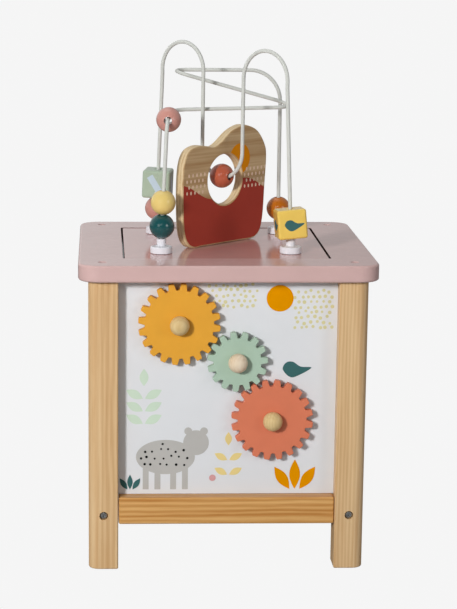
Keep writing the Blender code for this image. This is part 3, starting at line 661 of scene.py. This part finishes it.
def build_board(finishes):
    low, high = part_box("play_board")
    board = from_shape("play_board_wood", skin(slab_rings(low, high, [3 * MM] * 4, 0.8 * MM, 0.5 * MM)))
    holes = []
    for name, side_x, side_y in CORNERS:
        start = post_foot(side_x, side_y) - UP * (BOARD_THICKNESS + 1 * MM)
        holes.append(rod(WIRE_HOLE_RADIUS, start, UP, 12 * MM))
    profile = [(0, 12), (2.3, 12), (2.3, 3.1), (4.1, 3.1), (4.1, -1), (0, -1)]
    for side in ("left", "right"):
        middle = middle_of("hill_screw_" + side)
        holes.append(turned("cutter", in_mm(profile), Matrix.Translation((middle.x, middle.y, low.z)), 32))
    carve(board, holes)
    fit(board, finishes["board_paint"], "play_board", ["play_board"])


def post_foot(side_x, side_y):
    """Where a wire's post meets the play board; the looped wire's posts have equal signs."""
    across = LOOPED_POST_X if side_x == side_y else POST_OFFSET
    return Vector((side_x * across, side_y * POST_OFFSET, BOARD_TOP))


def build_caps(finishes):
    """White caps at the wires' feet: a round flange with a neck."""
    inner = WIRE_HOLE_RADIUS / MM
    line = [(inner, 15), (4.9, 15), (4.6, 7.5), (11.2, 7.2), (11.2, 0.3), (inner, 0.3)]
    profile = fillet(in_mm(line), [0, 0.7 * MM, 1.2 * MM, 1.3 * MM, 0.5 * MM, 0])
    for name, side_x, side_y in CORNERS:
        at = post_foot(side_x, side_y)
        cap = turned("cap_" + name + "_plastic", profile, Matrix.Translation(at), 48, True)
        fit(cap, finishes["white_plastic"], "play_board", ["cap_" + name])


def on_cross(distance, height):
    """A point of the arched wire's upright plane, above the play board."""
    return CROSS * distance + UP * (BOARD_TOP + height)


def arc(centre, height, radius, turn, steps=36):
    """Half a circle in the arched wire's plane, over the top (turn 1) or underneath (-1)."""
    angles = [math.pi * turn * index / steps for index in range(steps + 1)]
    return [on_cross(centre + radius * math.cos(a), height + radius * math.sin(a)) for a in angles]


def leg_foot(side):
    """The top of the arched wire's straight foot, on its +X (1) or -X (-1) side."""
    return on_cross(side * POST_OFFSET * math.sqrt(2), STRAIGHT_FOOT)


def leg_top(side):
    """Where the arched wire's outer leg, which leans inwards, meets its arch."""
    spring = FRONT_ARCH_SPRING if side > 0 else BACK_ARCH_SPRING
    return on_cross(side * (ARCH_CENTRE + ARCH_RADIUS), spring - 6 * MM)


def arched_route():
    """Two arches joined by a dip that passes through the hill board's hole."""
    base = GAP - BOARD_THICKNESS
    foot = POST_OFFSET * math.sqrt(2)
    route = [on_cross(foot, base), leg_foot(1), leg_top(1)]
    route += arc(ARCH_CENTRE, FRONT_ARCH_SPRING, ARCH_RADIUS, 1)
    route += arc(*DIP_CENTRE, DIP_RADIUS, -1)
    route += arc(-ARCH_CENTRE, BACK_ARCH_SPRING, ARCH_RADIUS, 1)
    return route + [leg_top(-1), leg_foot(-1), on_cross(-foot, base)]


def lean(side):
    return (leg_top(side) - leg_foot(side)).normalized()


def looped_corners():
    """The looped wire's corners and bend radii, from the front left post to the back right."""
    base = GAP - BOARD_THICKNESS
    across = LOOPED_POST_X
    post = POST_OFFSET
    corners = [
        ((-across, -post, base), 0),
        ((-across, -post, STRAIGHT_FOOT), 40 * MM),
        ((-60.2 * MM, -66.6 * MM, 134.7 * MM), 14 * MM),
        ((-50.5 * MM, 30 * MM, 137.2 * MM), 18 * MM),
        ((71 * MM, 32.5 * MM, 140 * MM), 11.8 * MM),
        ((71 * MM, 57.5 * MM, 142.4 * MM), 11.8 * MM),
        ((-46.2 * MM, 40 * MM, 175.8 * MM), 12 * MM),
        ((-46.2 * MM, post, 176.6 * MM), 12 * MM),
        ((across, post, 176.4 * MM), 33 * MM),
        ((across, post, base), 0),
    ]
    return [(Vector(point) + UP * BOARD_TOP, radius) for point, radius in corners]


def looped_route():
    corners = looped_corners()
    route = [corners[0][0]]
    for before, here, after in zip(corners, corners[1:], corners[2:]):
        bend = rounded_corner(before[0], here[0], after[0], here[1], 14)
        route += [Vector(point) for point in bend]
    return route + [corners[-1][0]]


def build_wires(finishes):
    for name, route in (("arched", arched_route()), ("looped", looped_route())):
        wire = tube("wire_" + name + "_steel", route, WIRE_RADIUS)
        fit(wire, finishes["wire_coating"], "play_board", ["wire_" + name], 60)


def build_bead(name, axis, finish):
    """A turned ball; the mouths of its bore are rounded."""
    mouth = 0.7 * MM
    start = math.asin((BORE_RADIUS + mouth) / BEAD_RADIUS)
    count = 30
    angles = [start + (math.pi - 2 * start) * index / count for index in range(count + 1)]
    profile = [(BEAD_RADIUS * math.sin(a), BEAD_RADIUS * math.cos(a)) for a in angles]
    end = profile[0][1]
    inside = [(BORE_RADIUS + 0.25 * MM, end - 0.05 * MM), (BORE_RADIUS + 0.03 * MM, end - 0.4 * MM),
              (BORE_RADIUS, end - mouth)]
    profile += [(radius, -height) for radius, height in inside] + inside[::-1]
    bead = turned(name + "_wood", profile, aim(axis, middle_of(name)), 48, True)
    fit(bead, finish, name, [name], 60)


def leaning(direction, spin):
    turn = UP.rotation_difference(direction).to_matrix().to_4x4()
    return turn @ Matrix.Rotation(spin, 4, "Z")


def build_cube(name, turn, finish):
    half = Vector((CUBE_HALF, CUBE_HALF, CUBE_HALF))
    cube = soft_box(name + "_wood", -half, half, 2.6 * MM, 5)
    bore = [(0, 16), (5.4, 16), (4.9, 15), (4.25, 14.3), (4, 13.5), (4, -13.5), (4.25, -14.3), (4.9, -15),
            (5.4, -16), (0, -16)]
    carve(cube, [turned("cutter", in_mm(bore), Matrix.Identity(4), 32)])
    place = Matrix.Translation(middle_of(name)) @ turn
    cube.data.transform(place)
    fit(cube, finish, name, [name])
    return place


def build_maze(finishes, inks):
    corners = looped_corners()
    post = (corners[2][0] - corners[1][0]).normalized()
    run = (corners[3][0] - corners[2][0]).normalized()
    build_bead("bead_teal", post, finishes["teal_paint"])
    build_bead("bead_yellow", post, finishes["pale_yellow_paint"])
    for name, axis, slot in (("bead_pink_high", run, "pink_bead_paint"), ("bead_amber", UP, "amber_paint"),
                             ("bead_red", CROSS, "red_paint"),
                             ("bead_pink_low", lean(-1), "pink_bead_paint")):
        build_bead(name, axis, finishes[slot])
    green = build_cube("cube_green", leaning(lean(-1), math.radians(-10)), finishes["sage_paint"])
    tilt = Matrix.Rotation(math.radians(-3), 4, "Y")
    yellow = build_cube("cube_yellow", tilt @ leaning(lean(1), math.radians(4)), finishes["yellow_paint"])
    print_cubes(green, yellow, inks)


# Hill board

def smooth(points, steps=6):
    """A closed curve through points."""
    outline = []
    count = len(points)
    for index in range(count):
        p0, p1, p2, p3 = (Vector(points[(index + shift) % count]) for shift in (-1, 0, 1, 2))
        for step in range(steps):
            t = step / steps
            point = 0.5 * (2 * p1 + (p2 - p0) * t + (2 * p0 - 5 * p1 + 4 * p2 - p3) * t * t
                           + (3 * p1 - p0 - 3 * p2 + p3) * t * t * t)
            outline.append(tuple(point))
    return outline


def disc(x, y, radius, count=20, stretch=1.0, turn=0.0):
    points = []
    for index in range(count):
        angle = 2 * math.pi * index / count
        across = radius * math.cos(angle)
        along = radius * stretch * math.sin(angle)
        points.append((x + across * math.cos(turn) - along * math.sin(turn),
                       y + across * math.sin(turn) + along * math.cos(turn)))
    return points


HILL_POINTS = [
    (-50, 0.3), (-60, 7), (-65, 20), (-66.8, 45), (-66.6, 72), (-64, 90), (-57, 101.5), (-44, 106),
    (-30, 104.9), (-19, 103.2), (-9, 107), (6, 116.7), (20, 122), (32, 122.6), (50, 116), (62, 102),
    (65.8, 88), (63.6, 56), (61.5, 27), (57.5, 10), (50, 2.5), (40, 0.3), (25, 0.3), (10, 0.3),
    (-5, 0.3), (-20, 0.3), (-35, 0.3),
]


def build_hill(finishes, inks):
    outline = in_mm(smooth(HILL_POINTS, 6))
    hole = disc(*HILL_HOLE, 72)
    frame_of_board = face_matrix(CROSS, Vector((0, 0, BOARD_TOP)))
    hill = plate("hill_board_plywood", [outline, hole], 2 * HILL_HALF, 2 * MM, frame_of_board, 4)
    pilots = []
    for side in ("left", "right"):
        middle = middle_of("hill_screw_" + side)
        pilots.append(rod(SHANK_HOLE, Vector((middle.x, middle.y, BOARD_TOP - 1 * MM)), UP, 24 * MM))
    carve(hill, pilots)
    fit(hill, finishes["plywood"], "play_board", ["hill_board"], 50)
    inner = plate_clip(1.8)
    for name, mirror in (("front", 1), ("back", -1)):
        matrix = face_matrix(CROSS * mirror, Vector((0, 0, BOARD_TOP)) + CROSS * mirror * HILL_HALF)
        print_art("hill_print_" + name, hill_art(inks, mirror), matrix, "play_board",
                  [[(x * mirror, y) for x, y in line] for line in inner])


def plate_clip(inset):
    """The hill board's flat face: its outline and hole, drawn in by an inset in mm."""
    points = smooth(HILL_POINTS, 6)
    drawn = []
    for index, here in enumerate(points):
        ahead = Vector(points[(index + 1) % len(points)]) - Vector(points[index - 1])
        normal = Vector((ahead.y, -ahead.x)).normalized()
        drawn.append(tuple(Vector(here) + normal * inset))
    x, y, radius = (value / MM for value in HILL_HOLE)
    return [drawn, disc(x, y, radius + inset, 72)]


def face_matrix(normal, origin):
    """A printed face: local X runs to a viewer's right, Y up and Z out of the face."""
    right = UP.cross(normal).normalized()
    up = normal.cross(right)
    return Matrix.Translation(origin) @ Matrix((right, up, normal)).transposed().to_4x4()


def hill_art(inks, mirror):
    """A red hill under a sine wave, a round sun and even rows of dashes."""
    crest = [(x, 58 - 9 * math.cos(math.pi * (x + 20) / 50)) for x in range(-76, 77, 4)]
    red = crest + [(76, -10), (-76, -10)]
    sun = disc(22, 88, 16, 40)
    rows = [disc(x + 3 * (row % 2), 58 + 6 * row, 1.2, 10, 1.6)
            for row in range(4) for x in range(-60, 61, 6)
            if math.hypot(x - HILL_HOLE[0] / MM, 58 + 6 * row - HILL_HOLE[1] / MM) > 31]
    art = [(inks["amber"], [sun]), (inks["brick"], [red]), (inks["dust"], rows)]
    return [(finish, [[(x * mirror, y) for x, y in line] for line in lines]) for finish, lines in art]


# Printed art

def print_art(name, art, matrix, body, clip=None):
    """One piece of thin printed shapes, a layer for each ink; points are in mm."""
    layers = []
    for level, (finish, outlines) in enumerate(art):
        scaled = [in_mm(line) for line in outlines]
        layer = plate(name, scaled, INK_THICKNESS, 0.0, Matrix.Identity(4), 0)
        if clip:
            edge = [in_mm(line) for line in clip]
            carve(layer, [plate("cutter", edge, 2 * MM, 0.0, Matrix.Identity(4), 0)], "INTERSECT")
        layer.data.transform(matrix @ Matrix.Translation((0, 0, INK_RISE * level)))
        layer.data.materials.clear()
        layer.data.materials.append(finish)
        layers.append(layer)
    joined = bmesh.new()
    mesh = bpy.data.meshes.new(name)
    for level, layer in enumerate(layers):
        before = len(joined.faces)
        joined.from_mesh(layer.data)
        joined.faces.ensure_lookup_table()
        for face in joined.faces[before:]:
            face.material_index = level
        mesh.materials.append(layer.data.materials[0])
        bpy.data.objects.remove(layer, do_unlink=True)
    bmesh.ops.recalc_face_normals(joined, faces=joined.faces)
    joined.to_mesh(mesh)
    joined.free()
    item = add_object(name, mesh)
    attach(item, body)
    return item


def leaf(base, tip, width, skew=1.0, count=14):
    """A leaf from its base to its tip; a skew above 1 moves its widest place to the tip."""
    start = Vector(base)
    run = Vector(tip) - start
    side = Vector((-run.y, run.x)).normalized()
    shares = [index / count for index in range(count + 1)]
    spans = [width / 2 * max(math.sin(math.pi * share**skew), 0) for share in shares]
    left = [tuple(start + run * share + side * span) for share, span in zip(shares, spans)]
    right = [tuple(start + run * share - side * span) for share, span in zip(shares, spans)]
    return left + right[-2:0:-1]


def stroke(points, width, taper=1.0):
    """A line of a width along points; taper is its far end's share of the width."""
    left = []
    right = []
    count = len(points)
    for index, here in enumerate(points):
        ahead = Vector(points[min(index + 1, count - 1)]) - Vector(points[max(index - 1, 0)])
        side = Vector((-ahead.y, ahead.x)).normalized()
        half = width / 2 * (1 + (taper - 1) * index / (count - 1))
        left.append(tuple(Vector(here) + side * half))
        right.append(tuple(Vector(here) - side * half))
    return left + right[::-1]


def scatter(seed, low_x, low_y, columns, rows, step, radius, keep):
    """Loose rows of dots, without those that keep(x, y) turns away."""
    draw = random.Random(seed)
    dots = []
    for row in range(rows):
        for column in range(columns):
            x = low_x + (column + 0.5 * (row % 2)) * step + draw.uniform(-0.2, 0.2) * step
            y = low_y + row * step * 0.87 + draw.uniform(-0.2, 0.2) * step
            size = radius * draw.uniform(0.8, 1.15)
            if keep(x, y):
                dots.append(disc(x, y, size, 10))
    return dots


def bird(x, y, size, way=1):
    """A plain toy bird: a drop-shaped body that ends in a point."""
    points = [(-1.0, 0.0), (-0.7, 0.7), (0.0, 0.8), (0.8, 0.3), (1.9, 0.2), (0.8, -0.5), (-0.2, -0.8)]
    return smooth([(x + way * px * size, y + py * size) for px, py in points], 4)


def sprig(x, y, height, pairs, size):
    """An upright stem with pairs of leaves at even steps and one at the top."""
    shapes = [leaf((x, y + height), (x, y + height + size), size * 0.5)]
    for pair in range(pairs):
        level = y + height * (pair + 1) / (pairs + 1)
        for way in (-1, 1):
            shapes.append(leaf((x + way, level), (x + way * size, level + size * 0.5), size * 0.5))
    return shapes


def tuft(x, y, size):
    """Three leaves that fan out from the ground."""
    return [leaf((x + way * size * 0.2, y), (x + way * size * 0.8, y + size * (1.2 - 0.3 * abs(way))),
                 size * 0.42) for way in (-1, 0, 1)]


def front_art(inks):
    """The gear panel's picture: a plain round animal, plants, a bird, a sun and dots."""
    ground = 80
    olive = scatter(3, 68, 248, 7, 8, 6.1, 1.75, lambda x, y: x < 105 and y < 289)
    olive += scatter(4, -18, 270, 8, 5, 6.1, 1.75, lambda x, y: y < 293)
    body_x, body_y = -62, 114
    legs = [stroke([(body_x + step, ground), (body_x + step, body_y)], 6) for step in (-20, -8, 8, 20)]
    body = disc(body_x, body_y, 30, 48, 0.6)
    head = disc(body_x + 31, body_y + 15, 13, 32)
    ears = [disc(body_x + 31 + side * 8, body_y + 27, 4, 16) for side in (-1, 1)]
    spots = scatter(9, body_x - 26, body_y - 14, 7, 5, 8, 1.3,
                    lambda x, y: math.hypot((x - body_x) / 26, (y - body_y) / 14) < 1)
    mint = sprig(-84, 136, 52, 3, 18)
    straw = sprig(2, ground, 46, 2, 14)
    orange = [disc(52, 278, 13.5, 40)] + tuft(70, ground, 26)
    teal = [bird(66, 205, 10)] + tuft(-98, ground, 13)
    rose = [disc(-14, 92, 3.4, 16)]
    return [(inks["olive"], olive), (inks["mint"], mint), (inks["straw"], straw), (inks["grey"], legs),
            (inks["grey"], [body]), (inks["grey"], ears), (inks["grey"], [head]), (inks["black"], spots),
            (inks["orange"], orange), (inks["teal"], teal), (inks["rose"], rose)]


def side_art(inks, seed):
    """A plain meadow for the panels that have no gears: leaves, a sun, dots and two birds."""
    draw = random.Random(seed)
    sun_x = draw.choice((-58, -20, 48))
    orange = [disc(sun_x, 262, 15, 40)]
    olive = scatter(seed + 1, -98, 236, 38, 12, 5.4, 0.95,
                    lambda x, y: y < 292 and 19 < math.hypot(x - sun_x, y - 262) < 46 and abs(x) < 104)
    mint = []
    straw = []
    teal = []
    rose = []
    places = [-88, -52, -14, 26, 62, 92]
    draw.shuffle(places)
    for index, x in enumerate(places):
        tall = 40 + 22 * draw.random()
        if index < 3:
            stem = [(x, 78), (x + 2, 78 + tall * 0.5), (x + 6, 78 + tall), (x + 12, 78 + tall * 1.5)]
            mint.append(stroke(stem, 2.6, 0.6))
            for share in (0.45, 0.8, 1.15):
                at = (x + 2 + 6 * share, 78 + tall * share)
                mint.append(leaf((at[0] - 1.8, at[1]), (at[0] - 20, at[1] + 9), 10, 1.2))
                mint.append(leaf((at[0] + 1.8, at[1] + 4), (at[0] + 20, at[1] + 16), 10, 1.2))
        else:
            group = orange if index == 3 else teal if index == 4 else straw
            for spread_x in (-15, 0, 15):
                group.append(leaf((x + spread_x * 0.25, 80), (x + spread_x, 112 - abs(spread_x) * 0.4), 10))
    teal.append(bird(draw.uniform(-30, 10), 190, 12))
    rose.append(bird(draw.uniform(30, 60), 222, 10, -1))
    return [(inks["olive"], olive), (inks["mint"], mint), (inks["straw"], straw), (inks["orange"], orange),
            (inks["teal"], teal), (inks["rose"], rose)]


def print_panels(inks):
    for index, (name, outward) in enumerate(SIDES):
        matrix = face_matrix(outward, outward * PANEL_FACE)
        art = front_art(inks) if name == "front" else side_art(inks, 20 + index)
        print_art("panel_print_" + name, art, matrix, "table")


def print_cubes(green, yellow, inks):
    """A bird on the yellow cube's sides and a slanted band on the green cube's."""
    sides = [Matrix.Rotation(math.pi / 2 * turn, 4, "Z") for turn in range(4)]
    for name, place, art in (
        ("cube_yellow", yellow, [(inks["teal"], [bird(-1, -1, 7)])]),
        ("cube_green", green, [(inks["sky"], [stroke([(-7, 9), (5, -9)], 7)])]),
    ):
        faces = []
        for side in sides:
            matrix = place @ side @ face_matrix(Vector((0, -1, 0)), Vector((0, -CUBE_HALF, 0)))
            faces.append(print_art(name + "_print", art, matrix, name))
        join(faces)


def join(items):
    """Joins pieces that have the same materials and body into the first."""
    joined = bmesh.new()
    for item in items:
        joined.from_mesh(item.data)
    joined.to_mesh(items[0].data)
    joined.free()
    for item in items[1:]:
        bpy.data.objects.remove(item, do_unlink=True)


# Gears

def tooth_outline(teeth, phase):
    """A gear's outline: straight flanks, rounded tips and a small radius at each root."""
    tip = GEAR_MODULE * teeth / 2 + GEAR_ADDENDUM[teeth]
    root = tip - TOOTH_DEPTH
    pitch = 2 * math.pi / teeth
    corners = []
    radii = []
    for index in range(teeth):
        for share, radius, rounding in ((-0.36, root, 0.7), (-0.213, tip, 1.3), (0.213, tip, 1.3),
                                        (0.36, root, 0.7)):
            angle = phase + (index + share) * pitch
            corners.append((radius * math.cos(angle), radius * math.sin(angle)))
            radii.append(rounding * MM)
    return fillet_outline(corners, radii, 4)


def build_gear(colour_name, teeth, centre, phase, finishes):
    name = "gear_" + colour_name
    middle = Vector((centre[0], GEAR_THICKNESS / 2 - GEAR_FACE, centre[1]))
    facing = Matrix.Translation(middle) @ Matrix.Rotation(math.pi / 2, 4, "X")
    gear = plate(name + "_wood", [tooth_outline(teeth, phase)], GEAR_THICKNESS, 0.7 * MM, facing, 3)
    back = Vector((0, 1, 0))
    hub_length = GEAR_FACE - PANEL_FACE - GAP - GEAR_THICKNESS / 2
    carve(gear, [rod(9 * MM, middle, back, hub_length, 40)], "UNION")
    start = Vector((centre[0], -GEAR_FACE - 1 * MM, centre[1]))
    carve(gear, [rod(PEG_RADIUS + GAP, start, back, 20 * MM, 32)])
    fit(gear, finishes[colour_name + "_gear_paint"], name, [name], 50)


def build_peg(colour_name, centre, finishes):
    flat = PEG_HEAD_CENTRE - GEAR_FACE - 0.4 * MM
    last = math.pi / 2 + math.asin(flat / PEG_HEAD_RADIUS)
    angles = [last * index / 24 for index in range(25)]
    profile = [(PEG_HEAD_RADIUS * math.sin(a), PEG_HEAD_CENTRE + PEG_HEAD_RADIUS * math.cos(a))
               for a in angles]
    end = PANEL_FACE - 6 * MM
    profile += [(PEG_RADIUS, PEG_HEAD_CENTRE - flat), (PEG_RADIUS, end + 0.4 * MM),
                (PEG_RADIUS - 0.4 * MM, end), (0, end)]
    name = "peg_" + colour_name
    matrix = aim((0, -1, 0), (centre[0], 0, centre[1]))
    peg = turned(name + "_wood", profile, matrix, 48)
    finish = finishes["pale_knob_wood" if colour_name == "green" else "knob_wood"]
    fit(peg, finish, "table", [name])


def build_gears(finishes):
    first_angle = math.radians(-33.05)
    second_angle = math.radians(-59.3)
    yellow = Vector((-49 * MM, 253 * MM))
    spacing = GEAR_MODULE * (20 + 15) / 2
    green = yellow + spacing * Vector((math.cos(first_angle), math.sin(first_angle)))
    coral = green + spacing * Vector((math.cos(second_angle), math.sin(second_angle)))
    middle_phase = math.radians(2.9)
    for name, teeth, centre, phase in (
        ("yellow", 20, yellow, mating_phase(middle_phase, first_angle + math.pi)),
        ("green", 15, green, middle_phase),
        ("coral", 20, coral, mating_phase(middle_phase, second_angle)),
    ):
        build_gear(name, teeth, centre, phase, finishes)
        build_peg(name, centre, finishes)


def mating_phase(phase, direction):
    """The first-tooth angle of a 20-tooth gear in mesh with the 15-tooth gear beside it."""
    return direction + math.pi + (direction - phase) * 15 / 20 + math.pi / 20


def finish_cad_nodes(finishes):
    """Gives the CAD nodes that stay in view, or inside, their finishes."""
    kept = {"floor_board": "white_panel", "hill_screw_left": "steel", "hill_screw_right": "steel"}
    for name, _ in SIDES:
        kept["panel_" + name] = "white_panel"
    for name, _, _ in CORNERS:
        kept["nut_x_" + name] = "steel"
        kept["nut_y_" + name] = "steel"
    for node, slot in kept.items():
        for material_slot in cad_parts[node].material_slots:
            material_slot.material = finishes[slot]


# Studio

def aimed_light(name, position, target, size, power, tint=(1, 1, 1)):
    data = bpy.data.lights.new(name, "AREA")
    data.shape = "DISK"
    data.size = size
    data.energy = power
    data.color = tint
    light = add_object(name, data)
    light.matrix_world = aim(Vector(position) - Vector(target), position)
    return light


def build_studio():
    """A pale floor and backdrop, a key light with a softbox at the front left, and weak fills."""
    shape = bmesh.new()
    bmesh.ops.create_grid(shape, x_segments=8, y_segments=8, size=30)
    floor = from_shape("studio_floor", shape, Matrix.Translation((0, 0, -0.2 * MM)))
    finish, tree, shader = blank("pale_floor")
    spot = add(tree, "TexCoord", {}).outputs["Object"]
    tone = ramp(tree, noise(tree, spot, 3, 2), [(0.3, (0.30, 0.30, 0.30, 1)), (0.7, (0.32, 0.32, 0.32, 1))])
    connect(tree, shader, Base_Color=tone, Roughness=0.9, Specular_IOR_Level=0.1)
    seen = add(tree, "LightPath", {}).outputs["Is Camera Ray"]
    glow = add(tree, "Emission", {"Color": (0.915, 0.915, 0.915, 1), "Strength": 1.0})
    mixed = add(tree, "MixShader", {"Fac": seen, 1: shader.outputs[0], 2: glow.outputs[0]})
    tree.links.new(mixed.outputs[0], tree.nodes["Material Output"].inputs["Surface"])
    floor.data.materials.append(finish)

    world = bpy.data.worlds.new("studio")
    bpy.context.scene.world = world
    world.use_nodes = True
    tree = world.node_tree
    background = tree.nodes["Background"]
    way = add(tree, "TexCoord", {}).outputs["Generated"]
    parts = add(tree, "SeparateXYZ", {"Vector": way}).outputs
    leftward = spread(tree, parts["X"], 1.0, 0.0, -0.02, 0.14)
    backward = spread(tree, parts["Y"], 0.0, 1.0, 0.1, 0.7)
    bright = add(tree, "Math", {0: leftward, 1: backward}, operation="MULTIPLY").outputs["Value"]
    around = spread(tree, parts["Y"], 0.1, 0.46, -0.4, 0.1)
    ambient = add(tree, "Math", {0: bright, 1: 0.32, 2: around}, operation="MULTIPLY_ADD").outputs["Value"]
    seen = add(tree, "LightPath", {}).outputs["Is Camera Ray"]
    strength = add(tree, "Mix", {"Factor": seen, 2: ambient, 3: 0.915}).outputs[0]
    background.inputs["Color"].default_value = (1, 1, 1, 1)
    tree.links.new(strength, background.inputs["Strength"])

    middle = Vector((0, -0.1, 0.25))
    key = aimed_light("key", middle + from_front(31, 17.5) * 2.4, middle, 0.32, 39)
    key.visible_glossy = False
    aimed_light("softbox", middle + from_front(34, 16) * 2.4, middle, 1.0, 5)
    aimed_light("fill", middle + from_front(11, 28) * 2.1, middle, 0.25, 1.5)
    aimed_light("right", middle + from_front(-46, 14) * 2.2, middle, 0.7, 6)
    aimed_light("top", (-0.3, 0.4, 2.3), middle, 1.4, 4)


def from_front(left, up):
    """The direction to a light that is so many degrees to the left of the front, and up."""
    left = math.radians(left)
    up = math.radians(up)
    return Vector((-math.sin(left) * math.cos(up), -math.cos(left) * math.cos(up), math.sin(up)))


def build_camera():
    data = bpy.data.cameras.new("camera")
    data.lens = 119.76
    data.sensor_width = 36
    data.shift_x = 0.100
    data.shift_y = 0.082
    data.clip_end = 60
    camera = add_object("camera", data)
    yaw = math.radians(1.953)
    pitch = math.radians(12.161)
    roll = math.radians(-0.34)
    ahead = math.cos(pitch)
    forward = Vector((math.sin(yaw) * ahead, math.cos(yaw) * ahead, -math.sin(pitch)))
    level = Vector((math.cos(yaw), -math.sin(yaw), 0))
    down = forward.cross(level)
    right = math.cos(roll) * level + math.sin(roll) * down
    below = -math.sin(roll) * level + math.cos(roll) * down
    turn = Matrix((right, -below, -forward)).transposed().to_4x4()
    camera.matrix_world = Matrix.Translation((-0.12823, -2.11392, 0.64970)) @ turn
    bpy.context.scene.camera = camera
    bpy.context.scene.view_settings.view_transform = "Standard"


finishes = make_finishes()
inks = make_inks()
build_top(finishes)
build_legs(finishes)
build_rails(finishes)
build_screws(finishes)
build_board(finishes)
build_caps(finishes)
build_wires(finishes)
build_maze(finishes, inks)
build_hill(finishes, inks)
build_gears(finishes)
print_panels(inks)
finish_cad_nodes(finishes)
build_studio()
build_camera()
